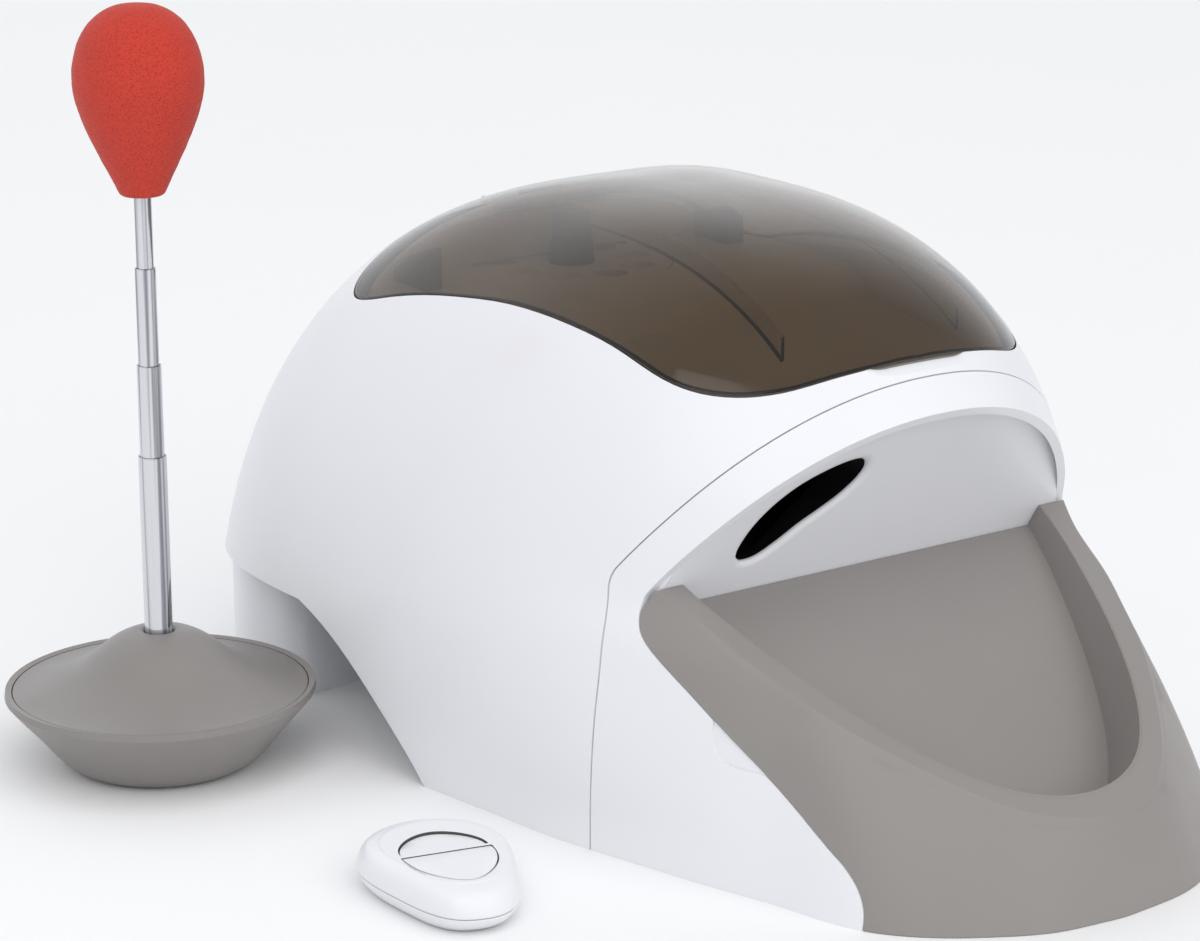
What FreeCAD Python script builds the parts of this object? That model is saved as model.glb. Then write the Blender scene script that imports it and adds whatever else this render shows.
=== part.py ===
"""Treat dispenser for dog training, with its target wand and its two-button remote.

Millimetres, +Z up.  The origin is on the flat underside of the dispenser, on its
centre plane, below the joint line between body shell and front fascia.  The front
faces -Y.  The wand and the remote stand apart on the dispenser's -X side.
"""
import FreeCAD, Part
import math
import os

V = FreeCAD.Vector

# ---- outer form of the dispenser ---------------------------------------------------
HULL_HEIGHT = 241.0          # floor to crown
HULL_HALF_WIDTH = 156.0
HULL_CENTRE_Y = 151.5        # widest station at the floor
HULL_FRONT_REACH = 236.5     # crown form, widest station to its nose
HULL_REAR_REACH = 192.0      # widest station to the tail
CROWN_LEAN = 40.0            # the crown stands this far forward of the widest station
FRONT_ROUNDNESS = 1.8        # superellipse exponents of the plan outline
FRONT_ROUNDNESS_RISE = 0.38
REAR_ROUNDNESS = 3.65
SIDE_ARCH = 2.55             # superellipse exponents of the three upright profiles
FRONT_ARCH = 2.4
REAR_ARCH = 2.5
FOOT_TOP = 104.0             # above this height the flared nose foot has died out
FOOT_FADE = 0.62
FOOT_FADE_TIP = 0.50
FOOT_FADE_CORNER = 0.80
FOOT_CORNER_ANGLE = -74.0    # degrees, where the nose corner lies in plan
FOOT_SIDE_FADE = 30.0        # degrees over which the flare dies out behind the widest
FOOT_OUTLINE = ((0, -175), (32, -171.5), (58, -160), (80, -144.5), (95, -126), (106, -88),
                (117, -54), (125, -25), (132, 0), (143, 64), (148, 97))
RING_ANGLES = (-90, -87.3, -84.6, -82, -79.4, -76.8, -74.2, -71.6, -69, -66, -62, -57, -51, -44,
               -36, -27, -18, -9, 0, 9, 18, 27, 36, 44, 51, 58, 65, 73, 81, 90)
RING_LEVELS = (0, 0.06, 0.125, 0.19, 0.25, 0.31, 0.37, 0.43, 0.49, 0.55, 0.61, 0.67, 0.73,
               0.785, 0.835, 0.88, 0.92, 0.953, 0.978, 0.993)

# ---- walls and general clearances -----------------------------------------------------
SHELL_WALL = 3.4
TOUCH_GAP = 0.05             # between two pieces that are glued face to face
SEAM_GAP = 0.8               # shadow line between body shell and fascia
SEAT_GAP = 0.3               # between a piece and the seat that carries it
SLIDE_GAP = 0.4              # between a sliding piece and its guide
FAR = 400.0                  # beyond every piece, for cutting tools

# ---- joint line, mouth and tray ---------------------------------------------------------
SEAM_BEND = ((0.0, 66.0), (0.5, 80.0), (2.0, 92.5), (4.4, 104.0), (5.0, 109.0), (4.1, 113.5), (1.8, 117.5))
SEAM_SLOPE = 0.72            # forward run per rise above the bend
STRIP_REACH = 7.0            # joining strip, either side of the joint line
STRIP_THICK = 1.8
MOUTH_LIP_Y, MOUTH_LIP_Z = -12.0, 111.0
MOUTH_SLOPE = 0.738          # forward run per rise of the lip plane
FACE_FOOT_Y, FACE_FOOT_Z = -9.0, 100.0
FACE_HEIGHT = 75.0
FACE_TOP_RUN = 43.0
FACE_MID_RUN = 17.5
FACE_THICK = 2.8
RIM_SLOPE = 0.48             # tray rim plane, rise per run
RIM_Z = 111.0                # height of the rim plane at RIM_Y
RIM_Y = -8.6
CHEEK_EDGE = ((-126.0, 0.0), (-124.3, 8.0), (-118.5, 17.0), (-108.0, 25.5), (-24.0, 83.5))
ARM_END = ((-24.0, 83.5), (-16.6, 89.0), (-11.4, 94.6), (-9.2, 101.0), (-9.6, 107.0))
TRAY_WALL = 2.6
TRAY_RIM = 2.8               # thickness of the rim plate
TRAY_FLOOR_SLOPE = 0.65
TRAY_CAVITY = ((97.0, -8.0), (94.5, -22.0), (85.5, -54.0), (74.0, -84.0), (60.5, -110.0),
               (47.0, -128.5), (33.0, -141.0), (17.0, -148.5), (0.0, -151.0))
TRAY_CAVITY_DEPTH = 36.0
TRAY_CAVITY_TAPER = 0.87
TRAY_FLOOR_STOP_Z = 17.0     # lowest level of the tray floor
TRAY_TRAVEL = 120.0

# ---- treat slot and chute -----------------------------------------------------------------
SLOT_OUTLINE = ((-70.5, 120.5), (-67.0, 130.0), (-60.5, 139.0), (-51.5, 146.5), (-41.0, 151.5),
                (-30.5, 154.5), (-22.5, 154.5), (-18.5, 150.5), (-19.5, 144.5), (-25.0, 137.5),
                (-33.0, 131.5), (-41.5, 126.0), (-50.0, 119.5), (-58.5, 114.5), (-66.0, 113.5),
                (-70.0, 116.0))
CHUTE_WALL = 2.0
LINER_WALL = 1.5
CHUTE_WIDTH = 58.0
CHUTE_X = -45.0              # centre of the chute's front end
CHUTE_SIDE = 22.0
CHUTE_FRONT_Y, CHUTE_FRONT_Z = -6.0, 112.0
CHUTE_REAR_Y, CHUTE_REAR_Z = 186.0, 166.0

# ---- lid and its opening -------------------------------------------------------------------
LID_WALL = 3.0
LID_GAP = 0.6
LID_SIDES = ((0.0, -42.5), (22.0, -41.0), (42.0, -36.5), (58.0, -30.0), (72.0, -19.5), (82.0, -7.0),
             (89.0, 8.0), (94.0, 32.0), (98.5, 62.0), (103.0, 105.0), (107.5, 150.0), (111.0, 180.0),
             (112.0, 198.0), (109.0, 211.0), (101.0, 218.5), (88.0, 220.5), (40.0, 221.5))
LID_REAR_Y = 222.0
LEDGE_WIDTH = 5.0
LEDGE_REACH = 7.0            # under the shell
LEDGE_THICK = 2.0
LEDGE_LOW = 130.0            # below every part of the ledge
NOTCH = ((-27.0, -41.0), (-20.0, -45.0), (-10.0, -46.8), (0.0, -47.2), (10.0, -46.8), (20.0, -45.0), (27.0, -41.0))
LID_RIB_X = 46.0
LID_RIB_WIDTH = 1.6
LID_RIB_HEIGHT = 6.0
LID_RIB_FRONT_Y, LID_RIB_REAR_Y = -12.0, 150.0
HINGE_Y, HINGE_Z = 226.5, 216.5
HINGE_R = 3.2
HINGE_PIN_R = 1.2
HINGE_WEB = ((224.5, 216.5), (224.5, 208.0), (228.0, 204.0), (236.0, 204.0), (236.0, 206.4), (228.5, 211.0), (228.5, 216.5))
HINGE_HALF = 30.0
HINGE_KNUCKLE_HALF = 12.0
HINGE_SIDE_GAP = 0.5
HINGE_PIN_GAP = 0.05

# ---- hopper and treat disc ------------------------------------------------------------------
DECK_TOP = 190.0
DECK_THICK = 2.5
DECK_FRONT_Y = 118.0
DISC_Y = 200.0
DISC_R = 46.0
DISC_THICK = 4.0
DISC_HOLES = 9
DISC_HOLE_R = 7.0
DISC_HOLE_RING = 31.0
DISC_GAP = 0.5
HUB_BASE_R, HUB_TOP_R, HUB_HEIGHT = 10.5, 8.5, 23.0
DISC_RIM = 4.0
DECK_INSET = SHELL_WALL + LEDGE_THICK + 3 * TOUCH_GAP
TUB_GROW = -2.5              # tub wall, from the lid's outline
DECK_HALF = 90.0
HOPPER_STEP = 12.0
HOPPER_LOW = 120.0
SPINDLE_GRIP = 12.0
BUSH_DROP = 10.0
FRAME_GAP = 0.6
FRAME_HALF = 62.0
BRACKET_ROOM = 1.0
HOPPER_RIM = 4.0
HOPPER_WALL = 2.0
HOPPER_FRONT_Y = -12.0
HOPPER_FRONT_Z = 168.0
BRACKET_X, BRACKET_Y = 88.0, 186.0
BRACKET_LENGTH, BRACKET_WIDTH, BRACKET_HEIGHT = 26.0, 9.0, 15.0
SPINDLE_R = 4.0
SPINDLE_BUSH_R = 8.0
SPINDLE_FIT = 0.05
DRIVE_Z = 150.0
GEAR_MODULE = 1.5
WHEEL_TEETH = 48
PINION_TEETH = 12
GEAR_THICK = 6.0
GEAR_BACKLASH = 0.16
MOTOR_R, MOTOR_LENGTH = 14.0, 34.0
MOTOR_SHAFT_R = 2.5
GEARBOX_HEIGHT = 12.0
FRAME_THICK = 3.0

# ---- underside -----------------------------------------------------------------------------------
BOSS_R, BOSS_WEB, BOSS_TOP = 4.0, 3.0, 18.0
BODY_BOSSES = ((-124, 40), (124, 40))
FASCIA_BOSSES = ((-104, -50), (104, -50))
BOSS_WALL_X = {40: 140.0, -50: 117.0}    # outer form's half width at the bosses
PAN_THICK = 2.5
PAN_FRONT_Y = -96.0
ARCH_START_Y = 98.0
ARCH_MID = (136.0, 37.0)
ARCH_TOP = (190.0, 60.0)
ARCH_REAR = (350.0, 55.0)
BELLY_RISE = 2.0             # the belly lies this far inside the shell's lower edge
LEG_INSET = 7.0              # rear leg housing inside the outer form
LEG_FRONT_Y = 228.0
LEG_CORNER = 26.0
LEG_WALL = 2.5
FOOT_PAD_R = 7.0
FOOT_PAD_THICK = 1.2
LEG_TAIL_Y = 275.0
LEG_LEVEL = 0.12
LEG_OVERLAP = 4.0
LEG_FRONT = ((0.0, 232.0), (55.0, 232.0), (95.0, 230.5), (118.0, 226.0), (131.0, 226.5), (139.0, 240.0), (141.5, 260.0))
BAY_LOW = 3.0
SPEAKER_X, SPEAKER_Y = 62.0, 10.0
BOARD_X, BOARD_Y, BOARD_WIDTH, BOARD_LENGTH, BOARD_POST = -45.0, 10.0, 80.0, 56.0, 6.0
FOOT_PADS = ((-104, -30), (104, -30), (-118, 66), (118, 66), (-112, 254), (112, 254), (-94, 310), (94, 310))

# ---- batteries -----------------------------------------------------------------------------------
CELL_R, CELL_LENGTH, CELL_COUNT = 16.8, 59.5, 4
CELL_NUB_R, CELL_NUB_LENGTH = 4.75, 1.5
CELL_GAP = 0.8
BAY_WALL = 2.0
BAY_FRONT_Y = 241.0
BAY_END_ROOM = 5.0
DOOR_THICK = 2.0
DOOR_MARGIN = 5.0
DOOR_RECESS = 0.4
DOOR_TRAVEL = 8.0
CONTACT_THICK = 0.5

# ---- control panel ------------------------------------------------------------------------------
PANEL_Y, PANEL_Z = 301.0, 128.0
PANEL_TILT = 27.0            # degrees from upright
PANEL_WIDTH, PANEL_HEIGHT = 96.0, 44.0
PANEL_DEPTH = 6.0
PANEL_THICK = 2.4
PANEL_RADIUS = 6.0
SCREEN_WIDTH, SCREEN_HEIGHT, SCREEN_THICK = 42.0, 22.0, 1.6
BUTTON_R, BUTTON_HEIGHT, BUTTON_TRAVEL = 5.0, 6.0, 1.2
BUTTON_SPOTS = ((-35.0, 9.0), (-35.0, -9.0), (35.0, 9.0), (35.0, -9.0))
BOARD_THICK = 1.6
SWITCH_LENGTH, SWITCH_WIDTH, SWITCH_TRAVEL = 9.0, 4.0, 4.0
SWITCH_Z = -15.5
SPEAKER_R, SPEAKER_DEPTH = 20.0, 12.0

# ---- fasteners -----------------------------------------------------------------------------------
SCREW_R, SCREW_HEAD_R, SCREW_LENGTH, SCREW_HEAD = 1.5, 3.0, 12.0, 2.0

# ---- target wand ---------------------------------------------------------------------------------
WAND_X, WAND_Y = -222.0, 192.0
WAND_FOOT_R = 39.5
WAND_RIM_R, WAND_RIM_Z = 66.5, 33.5
WAND_SEAT_R = 63.5
WAND_TOP_R = 12.5
WAND_TOP_Z = 59.0
WAND_WALL = 2.5
WAND_WEIGHT_R, WAND_WEIGHT_THICK = 34.0, 9.0
TUBE_OUTER = (6.0, 5.2, 4.4, 3.6)
TUBE_TOPS = (136.0, 175.5, 217.0, 262.0)
TUBE_WALL = 0.55
TUBE_FIT = 0.1
TUBE_OVERLAP = 12.0
TUBE_LIP = 0.9
SOCKET_R = 9.0
SOCKET_FLOOR_Z = 14.0
FOAM_BOTTOM_Z, FOAM_TOP_Z = 248.0, 327.0
FOAM_R = 27.0
FOAM_WIDEST_Z = 296.0
FOAM_FOOT_R = 9.5
FERRULE_R = 5.0
FOAM_BORE = 3.7

# ---- remote --------------------------------------------------------------------------------------
REMOTE_X, REMOTE_Y = -204.0, -4.0
REMOTE_TURN = -13.0          # degrees about Z
REMOTE_OUTLINE = ((0.0, -45.4), (10.7, -42.3), (18.7, -32.0), (24.5, -16.0), (29.4, 1.8),
                  (30.3, 16.0), (25.4, 29.4), (14.7, 38.7), (0.0, 42.3))
REMOTE_HEIGHT, REMOTE_SEAM = 18.5, 7.8
REMOTE_SEAM_GAP = 0.5
REMOTE_WALL = 2.0
REMOTE_FOOT_SCALE = 0.86
REMOTE_SHOULDER_SCALE = 0.94
REMOTE_TOP_SCALE = 0.74
KEY_GAP = 0.7
KEY_TRAVEL = 1.0
STAY_KEY_PROUD, DROP_KEY_PROUD = -0.7, 0.4
KEY_DEPTH = 5.0
KEY_SPLIT_Y = -1.0
STAY_KEY = ((-17.5, 0.6), (-13.6, 11.6), (0.0, 19.4), (13.6, 11.6), (17.5, 0.6))
DROP_KEY = ((-18.2, -1.8), (-17.4, -10.5), (-9.4, -25.5), (0.0, -31.0), (9.4, -25.5),
            (17.4, -10.5), (18.2, -1.8))
COIN_R, COIN_THICK = 10.0, 3.2

X_AXIS, Y_AXIS, Z_AXIS = V(1, 0, 0), V(0, 1, 0), V(0, 0, 1)


# ---- general helpers -------------------------------------------------------------------------------
def box(x0, x1, y0, y1, z0, z1):
    """Axis-aligned block between two corners."""
    return Part.makeBox(x1 - x0, y1 - y0, z1 - z0, V(x0, y0, z0))


def cylinder(radius, start, end):
    """Cylinder from one axis point to another."""
    axis = end.sub(start)
    return Part.makeCylinder(radius, axis.Length, start, axis)


def fused(shapes):
    """One solid from touching shapes."""
    shapes = list(shapes)
    if len(shapes) == 1:
        return shapes[0]
    return shapes[0].multiFuse(shapes[1:]).removeSplitter()


def group(shapes):
    """Separate solids kept side by side in one node."""
    return Part.makeCompound([solid for shape in shapes for solid in shape.Solids])


def mirrored(shape):
    """The same piece on the other side of the centre plane."""
    return shape.mirror(V(0, 0, 0), X_AXIS)


def spline(points, closed=False):
    """Smooth curve through points, with a parameter that grows with their distance."""
    ring = points + points[:1] if closed else points
    steps = [0.0]
    for a, b in zip(ring, ring[1:]):
        steps.append(steps[-1] + a.distanceToPoint(b))
    curve = Part.BSplineCurve()
    curve.interpolate(Points=points, PeriodicFlag=closed, Parameters=steps)
    return curve


def closed_wire(points):
    """Smooth closed wire through points."""
    return Part.Wire([spline(points, True).toShape()])


def both_sides(half):
    """Closed outline from its half with x >= 0, which starts and ends near x = 0."""
    back = [(-x, y) for x, y in reversed(half) if x > 0.01]
    return list(half) + back


def prism(points, z0, z1):
    """Upright prism over a smooth closed outline."""
    wire = closed_wire([V(x, y, z0) for x, y in points])
    return Part.Face(wire).extrude(V(0, 0, z1 - z0))


def polygon_prism(points, z0, z1):
    """Upright prism over a straight-sided outline."""
    wire = Part.makePolygon([V(x, y, z0) for x, y in points] + [V(points[0][0], points[0][1], z0)])
    return Part.Face(wire).extrude(V(0, 0, z1 - z0))


def side_prism(edges, x0=-FAR, x1=FAR):
    """Solid whose side view is the closed chain of edges, from x0 to x1."""
    face = Part.Face(Part.Wire(edges))
    face.translate(V(x0, 0, 0))
    return face.extrude(V(x1 - x0, 0, 0))


def side_lines(points):
    """Straight edges through (y, z) points in the plane x = 0."""
    vectors = [V(0, y, z) for y, z in points]
    return [Part.makeLine(a, b) for a, b in zip(vectors, vectors[1:])]


def side_curve(points):
    """One smooth edge through (y, z) points in the plane x = 0."""
    return spline([V(0, y, z) for y, z in points]).toShape()


def revolved(points, centre_x, centre_y):
    """Solid of revolution about an upright axis; points are (radius, z) or ('curve', list)."""
    edges = []
    last = None
    for item in points:
        if item[0] == "curve":
            vectors = [V(r, 0, z) for r, z in item[1]]
            if last is not None and last.distanceToPoint(vectors[0]) > 1e-6:
                edges.append(Part.makeLine(last, vectors[0]))
            edges.append(spline(vectors).toShape())
            last = vectors[-1]
        else:
            point = V(item[0], 0, item[1])
            if last is not None:
                edges.append(Part.makeLine(last, point))
            else:
                first = point
            last = point
    if last.distanceToPoint(first) > 1e-6:
        edges.append(Part.makeLine(last, first))
    face = Part.Face(Part.Wire(edges))
    solid = face.revolve(V(0, 0, 0), Z_AXIS, 360)
    solid.translate(V(centre_x, centre_y, 0))
    return solid


# ---- outer form -------------------------------------------------------------------------------------
def hermite(xs, ys, x):
    """Smooth value at x of a curve through (xs, ys), without overshoot."""
    count = len(xs)
    slopes = [(ys[i + 1] - ys[i]) / (xs[i + 1] - xs[i]) for i in range(count - 1)]
    tangents = [slopes[0]]
    for a, b in zip(slopes, slopes[1:]):
        tangents.append(0.0 if a * b <= 0 else 2 * a * b / (a + b))
    tangents.append(slopes[-1])
    i = max(k for k in range(count - 1) if xs[k] <= x or k == 0)
    width = xs[i + 1] - xs[i]
    t = (x - xs[i]) / width
    return ((1 + 2 * t) * (1 - t) ** 2 * ys[i] + t * (1 - t) ** 2 * width * tangents[i]
            + t * t * (3 - 2 * t) * ys[i + 1] + t * t * (t - 1) * width * tangents[i + 1])


def superellipse_radius(angle, half_width, reach, roundness):
    """Distance from the centre to a superellipse in one direction."""
    c, s = abs(math.cos(angle)), abs(math.sin(angle))
    return ((c / half_width) ** roundness + (s / reach) ** roundness) ** (-1 / roundness)


def shrink(level, arch):
    """Share of the floor size left at a level between floor (0) and crown (1)."""
    return (1 - level ** arch) ** (1 / arch)


def flare(degrees):
    """How much further out the nose foot lies than the crown form at the floor."""
    polar = [(math.degrees(math.atan2(y - HULL_CENTRE_Y, x)), math.hypot(x, y - HULL_CENTRE_Y))
             for x, y in FOOT_OUTLINE]
    angles = [a for a, _ in polar]
    radii = [r for _, r in polar]
    inner = min(degrees, angles[-1])
    foot = hermite(angles, radii, inner)
    crown = superellipse_radius(math.radians(inner), HULL_HALF_WIDTH, HULL_FRONT_REACH, FRONT_ROUNDNESS)
    share = min(max(1 - (degrees - angles[-1]) / FOOT_SIDE_FADE, 0.0), 1.0)
    return (foot / crown - 1) * share


def flare_fade(degrees):
    """Exponent with which the flare dies out upwards."""
    corner = math.exp(-((degrees - FOOT_CORNER_ANGLE) / 7.0) ** 2)
    tip = math.exp(-((degrees + 90.0) / 6.0) ** 2)
    return FOOT_FADE + (FOOT_FADE_CORNER - FOOT_FADE) * corner + (FOOT_FADE_TIP - FOOT_FADE) * tip


def ring_points(level, inset):
    """Plan outline of the outer form at a level, moved inwards by inset."""
    half = []
    for degrees in RING_ANGLES:
        angle = math.radians(degrees)
        wide = HULL_HALF_WIDTH * shrink(level, SIDE_ARCH)
        if degrees < 0:
            reach = HULL_FRONT_REACH * shrink(level, FRONT_ARCH)
            roundness = FRONT_ROUNDNESS + FRONT_ROUNDNESS_RISE * level
        else:
            reach = HULL_REAR_REACH * shrink(level, REAR_ARCH)
            roundness = REAR_ROUNDNESS
        radius = superellipse_radius(angle, wide, reach, roundness)
        rise = level * HULL_HEIGHT / FOOT_TOP
        if rise < 1:
            radius *= 1 + flare(degrees) * (1 - rise) ** flare_fade(degrees)
        half.append((radius * math.cos(angle), radius * math.sin(angle)))
    half[0] = (0.0, half[0][1])
    half[-1] = (0.0, half[-1][1])
    ring = half + [(-x, y) for x, y in reversed(half[1:-1])]
    centre = HULL_CENTRE_Y - CROWN_LEAN * level
    moved = []
    for i, (x, y) in enumerate(ring):
        (ax, ay), (bx, by) = ring[i - 1], ring[(i + 1) % len(ring)]
        length = math.hypot(bx - ax, by - ay)
        moved.append((x - inset * (by - ay) / length, centre + y + inset * (bx - ax) / length))
    return moved


HULLS = {}


def hull(inset=0.0):
    """The outer form as a solid standing on z = 0, moved inwards by inset."""
    if inset not in HULLS:
        top = HULL_HEIGHT - inset
        base = ring_points(0, inset)
        around = [0.0]
        for (ax, ay), (bx, by) in zip(base, base[1:] + base[:1]):
            around.append(around[-1] + math.hypot(bx - ax, by - ay))
        rings = []
        for level in RING_LEVELS:
            ring = Part.BSplineCurve()
            points = [V(x, y, level * top) for x, y in ring_points(level, inset)]
            ring.interpolate(Points=points, PeriodicFlag=True, Parameters=around)
            ring.setNotPeriodic()
            rings.append(ring)
        widest = RING_ANGLES.index(0)
        upwards = [0.0]
        profile = [(ring_points(level, inset)[widest][0], level * top) for level in RING_LEVELS] + [(0.0, top)]
        for (ax, az), (bx, bz) in zip(profile, profile[1:]):
            upwards.append(upwards[-1] + math.hypot(bx - ax, bz - az))
        crown = V(0, HULL_CENTRE_Y - CROWN_LEAN, top)
        ribs = []
        for column in zip(*[ring.getPoles() for ring in rings]):
            rib = Part.BSplineCurve()
            rib.interpolate(Points=list(column) + [crown], Parameters=upwards)
            ribs.append(rib)
        surface = Part.BSplineSurface()
        surface.buildFromPolesMultsKnots([rib.getPoles() for rib in ribs], rings[0].getMultiplicities(),
                                         ribs[0].getMultiplicities(), rings[0].getKnots(), ribs[0].getKnots(),
                                         False, False, rings[0].Degree, ribs[0].Degree)
        shell = Part.Shell([surface.toShape(), Part.Face(Part.Wire([rings[0].toShape()]))])
        shell.sewShape()
        solid = Part.Solid(shell)
        if solid.Volume < 0:
            solid.reverse()
        HULLS[inset] = solid
    return HULLS[inset]


def skin(outer, inner):
    """The outer form's wall between two insets, open at the floor."""
    sides, rims = [], []
    for inset in (outer, inner):
        faces = sorted(hull(inset).Faces, key=lambda face: face.Area)
        sides.append(faces[-1])
        rims.append(faces[0].OuterWire)
    sides[1] = sides[1].reversed()
    floor = Part.Face(rims)
    if floor.normalAt(0, 0).z > 0:
        floor = floor.reversed()
    solid = Part.Solid(Part.Shell([sides[0], sides[1], floor]))
    return solid


def seam_edges(shift=0.0):
    """Side view of the joint line, moved along Y by shift, from below the floor to above the crown."""
    top = HULL_HEIGHT + 20
    bend = [(y + shift, z) for y, z in SEAM_BEND]
    high_y = bend[-1][0] - SEAM_SLOPE * (top - bend[-1][1])
    low = side_lines([(shift, -5), bend[0]])
    high = side_lines([bend[-1], (high_y, top)])
    return low + [side_curve(bend)] + high, high_y, top


def ahead_of_seam(shift=0.0):
    """Everything in front of the joint line."""
    edges, y, z = seam_edges(shift)
    return side_prism(edges + side_lines([(y, z), (-FAR, z), (-FAR, -5), (shift, -5)]))


def lip_y(z):
    """Y of the mouth's lip plane at height z."""
    return MOUTH_LIP_Y - MOUTH_SLOPE * (z - MOUTH_LIP_Z)


def mouth_space(shift=0.0):
    """Everything in front of the lip plane and above the cheeks' diagonal edge."""
    top = HULL_HEIGHT + 20
    cheek = [(y + shift, z) for y, z in CHEEK_EDGE]
    arm = [(y + shift, z) for y, z in ARM_END]
    end = (lip_y(top) + shift, top)
    edges = side_lines([(cheek[0][0], -5), cheek[0]])
    edges += [side_curve(cheek[:4])] + side_lines(cheek[3:]) + [side_curve(arm)]
    edges += side_lines([arm[-1], (lip_y(MOUTH_LIP_Z) + shift, MOUTH_LIP_Z), end,
                         (-FAR, top), (-FAR, -5), (cheek[0][0], -5)])
    return side_prism(edges)


def face_y(z):
    """Y of the concave face at height z."""
    h = z - FACE_FOOT_Z
    middle = FACE_HEIGHT / 2
    bend = (FACE_TOP_RUN / FACE_HEIGHT - FACE_MID_RUN / middle) / middle
    lean = FACE_MID_RUN / middle - bend * middle
    return FACE_FOOT_Y - lean * h - bend * h * h


def face_space(shift=0.0, top=FACE_FOOT_Z + FACE_HEIGHT + 12):
    """Everything in front of the concave face, moved along Y by shift."""
    low = FACE_FOOT_Z - 12
    heights = [low + (top - low) * i / 6 for i in range(7)]
    curve = side_curve([(face_y(z) + shift, z) for z in heights])
    start, end = (face_y(low) + shift, low), (face_y(top) + shift, top)
    return side_prism([curve] + side_lines([end, (-FAR, top), (-FAR, low), start]))


# ---- casings ---------------------------------------------------------------------------------------
def lid_outline(grow):
    """Plan outline of the lid, grown by a gap."""
    ring = both_sides(LID_SIDES + ((0.0, LID_REAR_Y),))
    moved = []
    for i, (x, y) in enumerate(ring):
        (ax, ay), (bx, by) = ring[i - 1], ring[(i + 1) % len(ring)]
        length = math.hypot(bx - ax, by - ay)
        moved.append((x + grow * (by - ay) / length, y - grow * (bx - ax) / length))
    return moved


def arch_space(rise=0.0):
    """Everything below the arch between the body and the rear leg, raised by rise."""
    start = (ARCH_START_Y - rise, -5)
    curve = side_curve([(ARCH_START_Y - rise, 0), (ARCH_MID[0] - rise * 0.7, ARCH_MID[1] + rise * 0.7),
                        (ARCH_TOP[0], ARCH_TOP[1] + rise)])
    rear = (ARCH_REAR[0], ARCH_REAR[1] + rise)
    return side_prism([side_lines([start, (start[0], 0)])[0], curve]
                      + side_lines([(ARCH_TOP[0], ARCH_TOP[1] + rise), rear, (FAR, rear[1]), (FAR, -5), start]))


def panel_place(shape):
    """Move a piece built about the panel's own centre to the panel's place on the tail."""
    shape.rotate(V(0, 0, 0), X_AXIS, PANEL_TILT)
    shape.translate(V(0, PANEL_Y, PANEL_Z))
    return shape


def rounded_plate(width, height, radius, y0, y1):
    """Plate with round corners in the XZ plane, from y0 to y1."""
    plate = box(-width / 2, width / 2, y0, y1, -height / 2, height / 2)
    corners = [e for e in plate.Edges if abs(e.tangentAt(e.FirstParameter).y) > 0.99]
    return plate.makeFillet(radius, corners)


def wall_boss(x, y, z0, z1):
    """Screw boss beside the outer wall, with a web that ends inside the wall."""
    side = 1 if x > 0 else -1
    edge = BOSS_WALL_X[y] - SHELL_WALL / 2
    post = cylinder(BOSS_R, V(x, y, z0), V(x, y, z1))
    web = box(min(x, side * edge), max(x, side * edge), y - BOSS_WEB / 2, y + BOSS_WEB / 2, z0, z1)
    bore = cylinder(SCREW_R + SEAT_GAP, V(x, y, z0 - 1), V(x, y, z0 + SCREW_LENGTH + 1))
    return post.fuse(web).cut(bore)


def lid_band(grow_out, grow_in):
    """Upright band that follows the lid's outline between two growths."""
    return prism(lid_outline(grow_out), LEDGE_LOW, FAR).cut(prism(lid_outline(grow_in), LEDGE_LOW - 1, FAR + 1))


def hinge_barrel(x0, x1, radius=HINGE_R):
    """Length of cylinder about the hinge's axis."""
    return cylinder(radius, V(x0, HINGE_Y, HINGE_Z), V(x1, HINGE_Y, HINGE_Z))


def hinge_bore():
    """Tool for the hinge pin's bore."""
    return hinge_barrel(-HINGE_HALF - 1, HINGE_HALF + 1, HINGE_PIN_R + HINGE_PIN_GAP)


def hinge_ears():
    """The shell's two hinge barrels on their gussets."""
    ears = []
    for side in (-1, 1):
        x0, x1 = sorted((side * (HINGE_KNUCKLE_HALF + HINGE_SIDE_GAP), side * HINGE_HALF))
        web = side_prism(side_lines(HINGE_WEB + HINGE_WEB[:1]), x0, x1)
        ears.append(hinge_barrel(x0, x1).fuse(web))
    return ears


def knuckle_room():
    """Space that the lid's knuckle and its arm need in the shell."""
    half = HINGE_KNUCKLE_HALF + HINGE_SIDE_GAP
    slot = box(-half, half, LID_REAR_Y - 1, HINGE_Y, HINGE_Z - HINGE_R + LID_GAP / 2, FAR)
    return hinge_barrel(-half, half, HINGE_R + LID_GAP).fuse(slot)


def make_body_shell():
    """White shell from the joint line to the tail, with the lid's opening and finger notch."""
    shell = skin(0, SHELL_WALL).cut(ahead_of_seam(SEAM_GAP / 2)).cut(arch_space())
    shell = shell.cut(prism(lid_outline(LID_GAP), LEDGE_LOW, FAR))
    lens = spline([V(x, y, LEDGE_LOW) for x, y in NOTCH]).toShape()
    lens = Part.Wire([lens, Part.makeLine(V(NOTCH[-1][0], NOTCH[-1][1], LEDGE_LOW), V(NOTCH[0][0], NOTCH[0][1], LEDGE_LOW))])
    shell = shell.cut(Part.Face(lens).extrude(V(0, 0, FAR)))
    shell = shell.cut(panel_place(rounded_plate(PANEL_WIDTH + 2 * SEAT_GAP, PANEL_HEIGHT + 2 * SEAT_GAP,
                                                PANEL_RADIUS, -20, 60)))
    shell = shell.cut(knuckle_room())
    for piece in hinge_ears() + [wall_boss(x, y, PAN_THICK, BOSS_TOP) for x, y in BODY_BOSSES]:
        shell = shell.fuse(piece)
    return shell.cut(hinge_bore())


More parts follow.
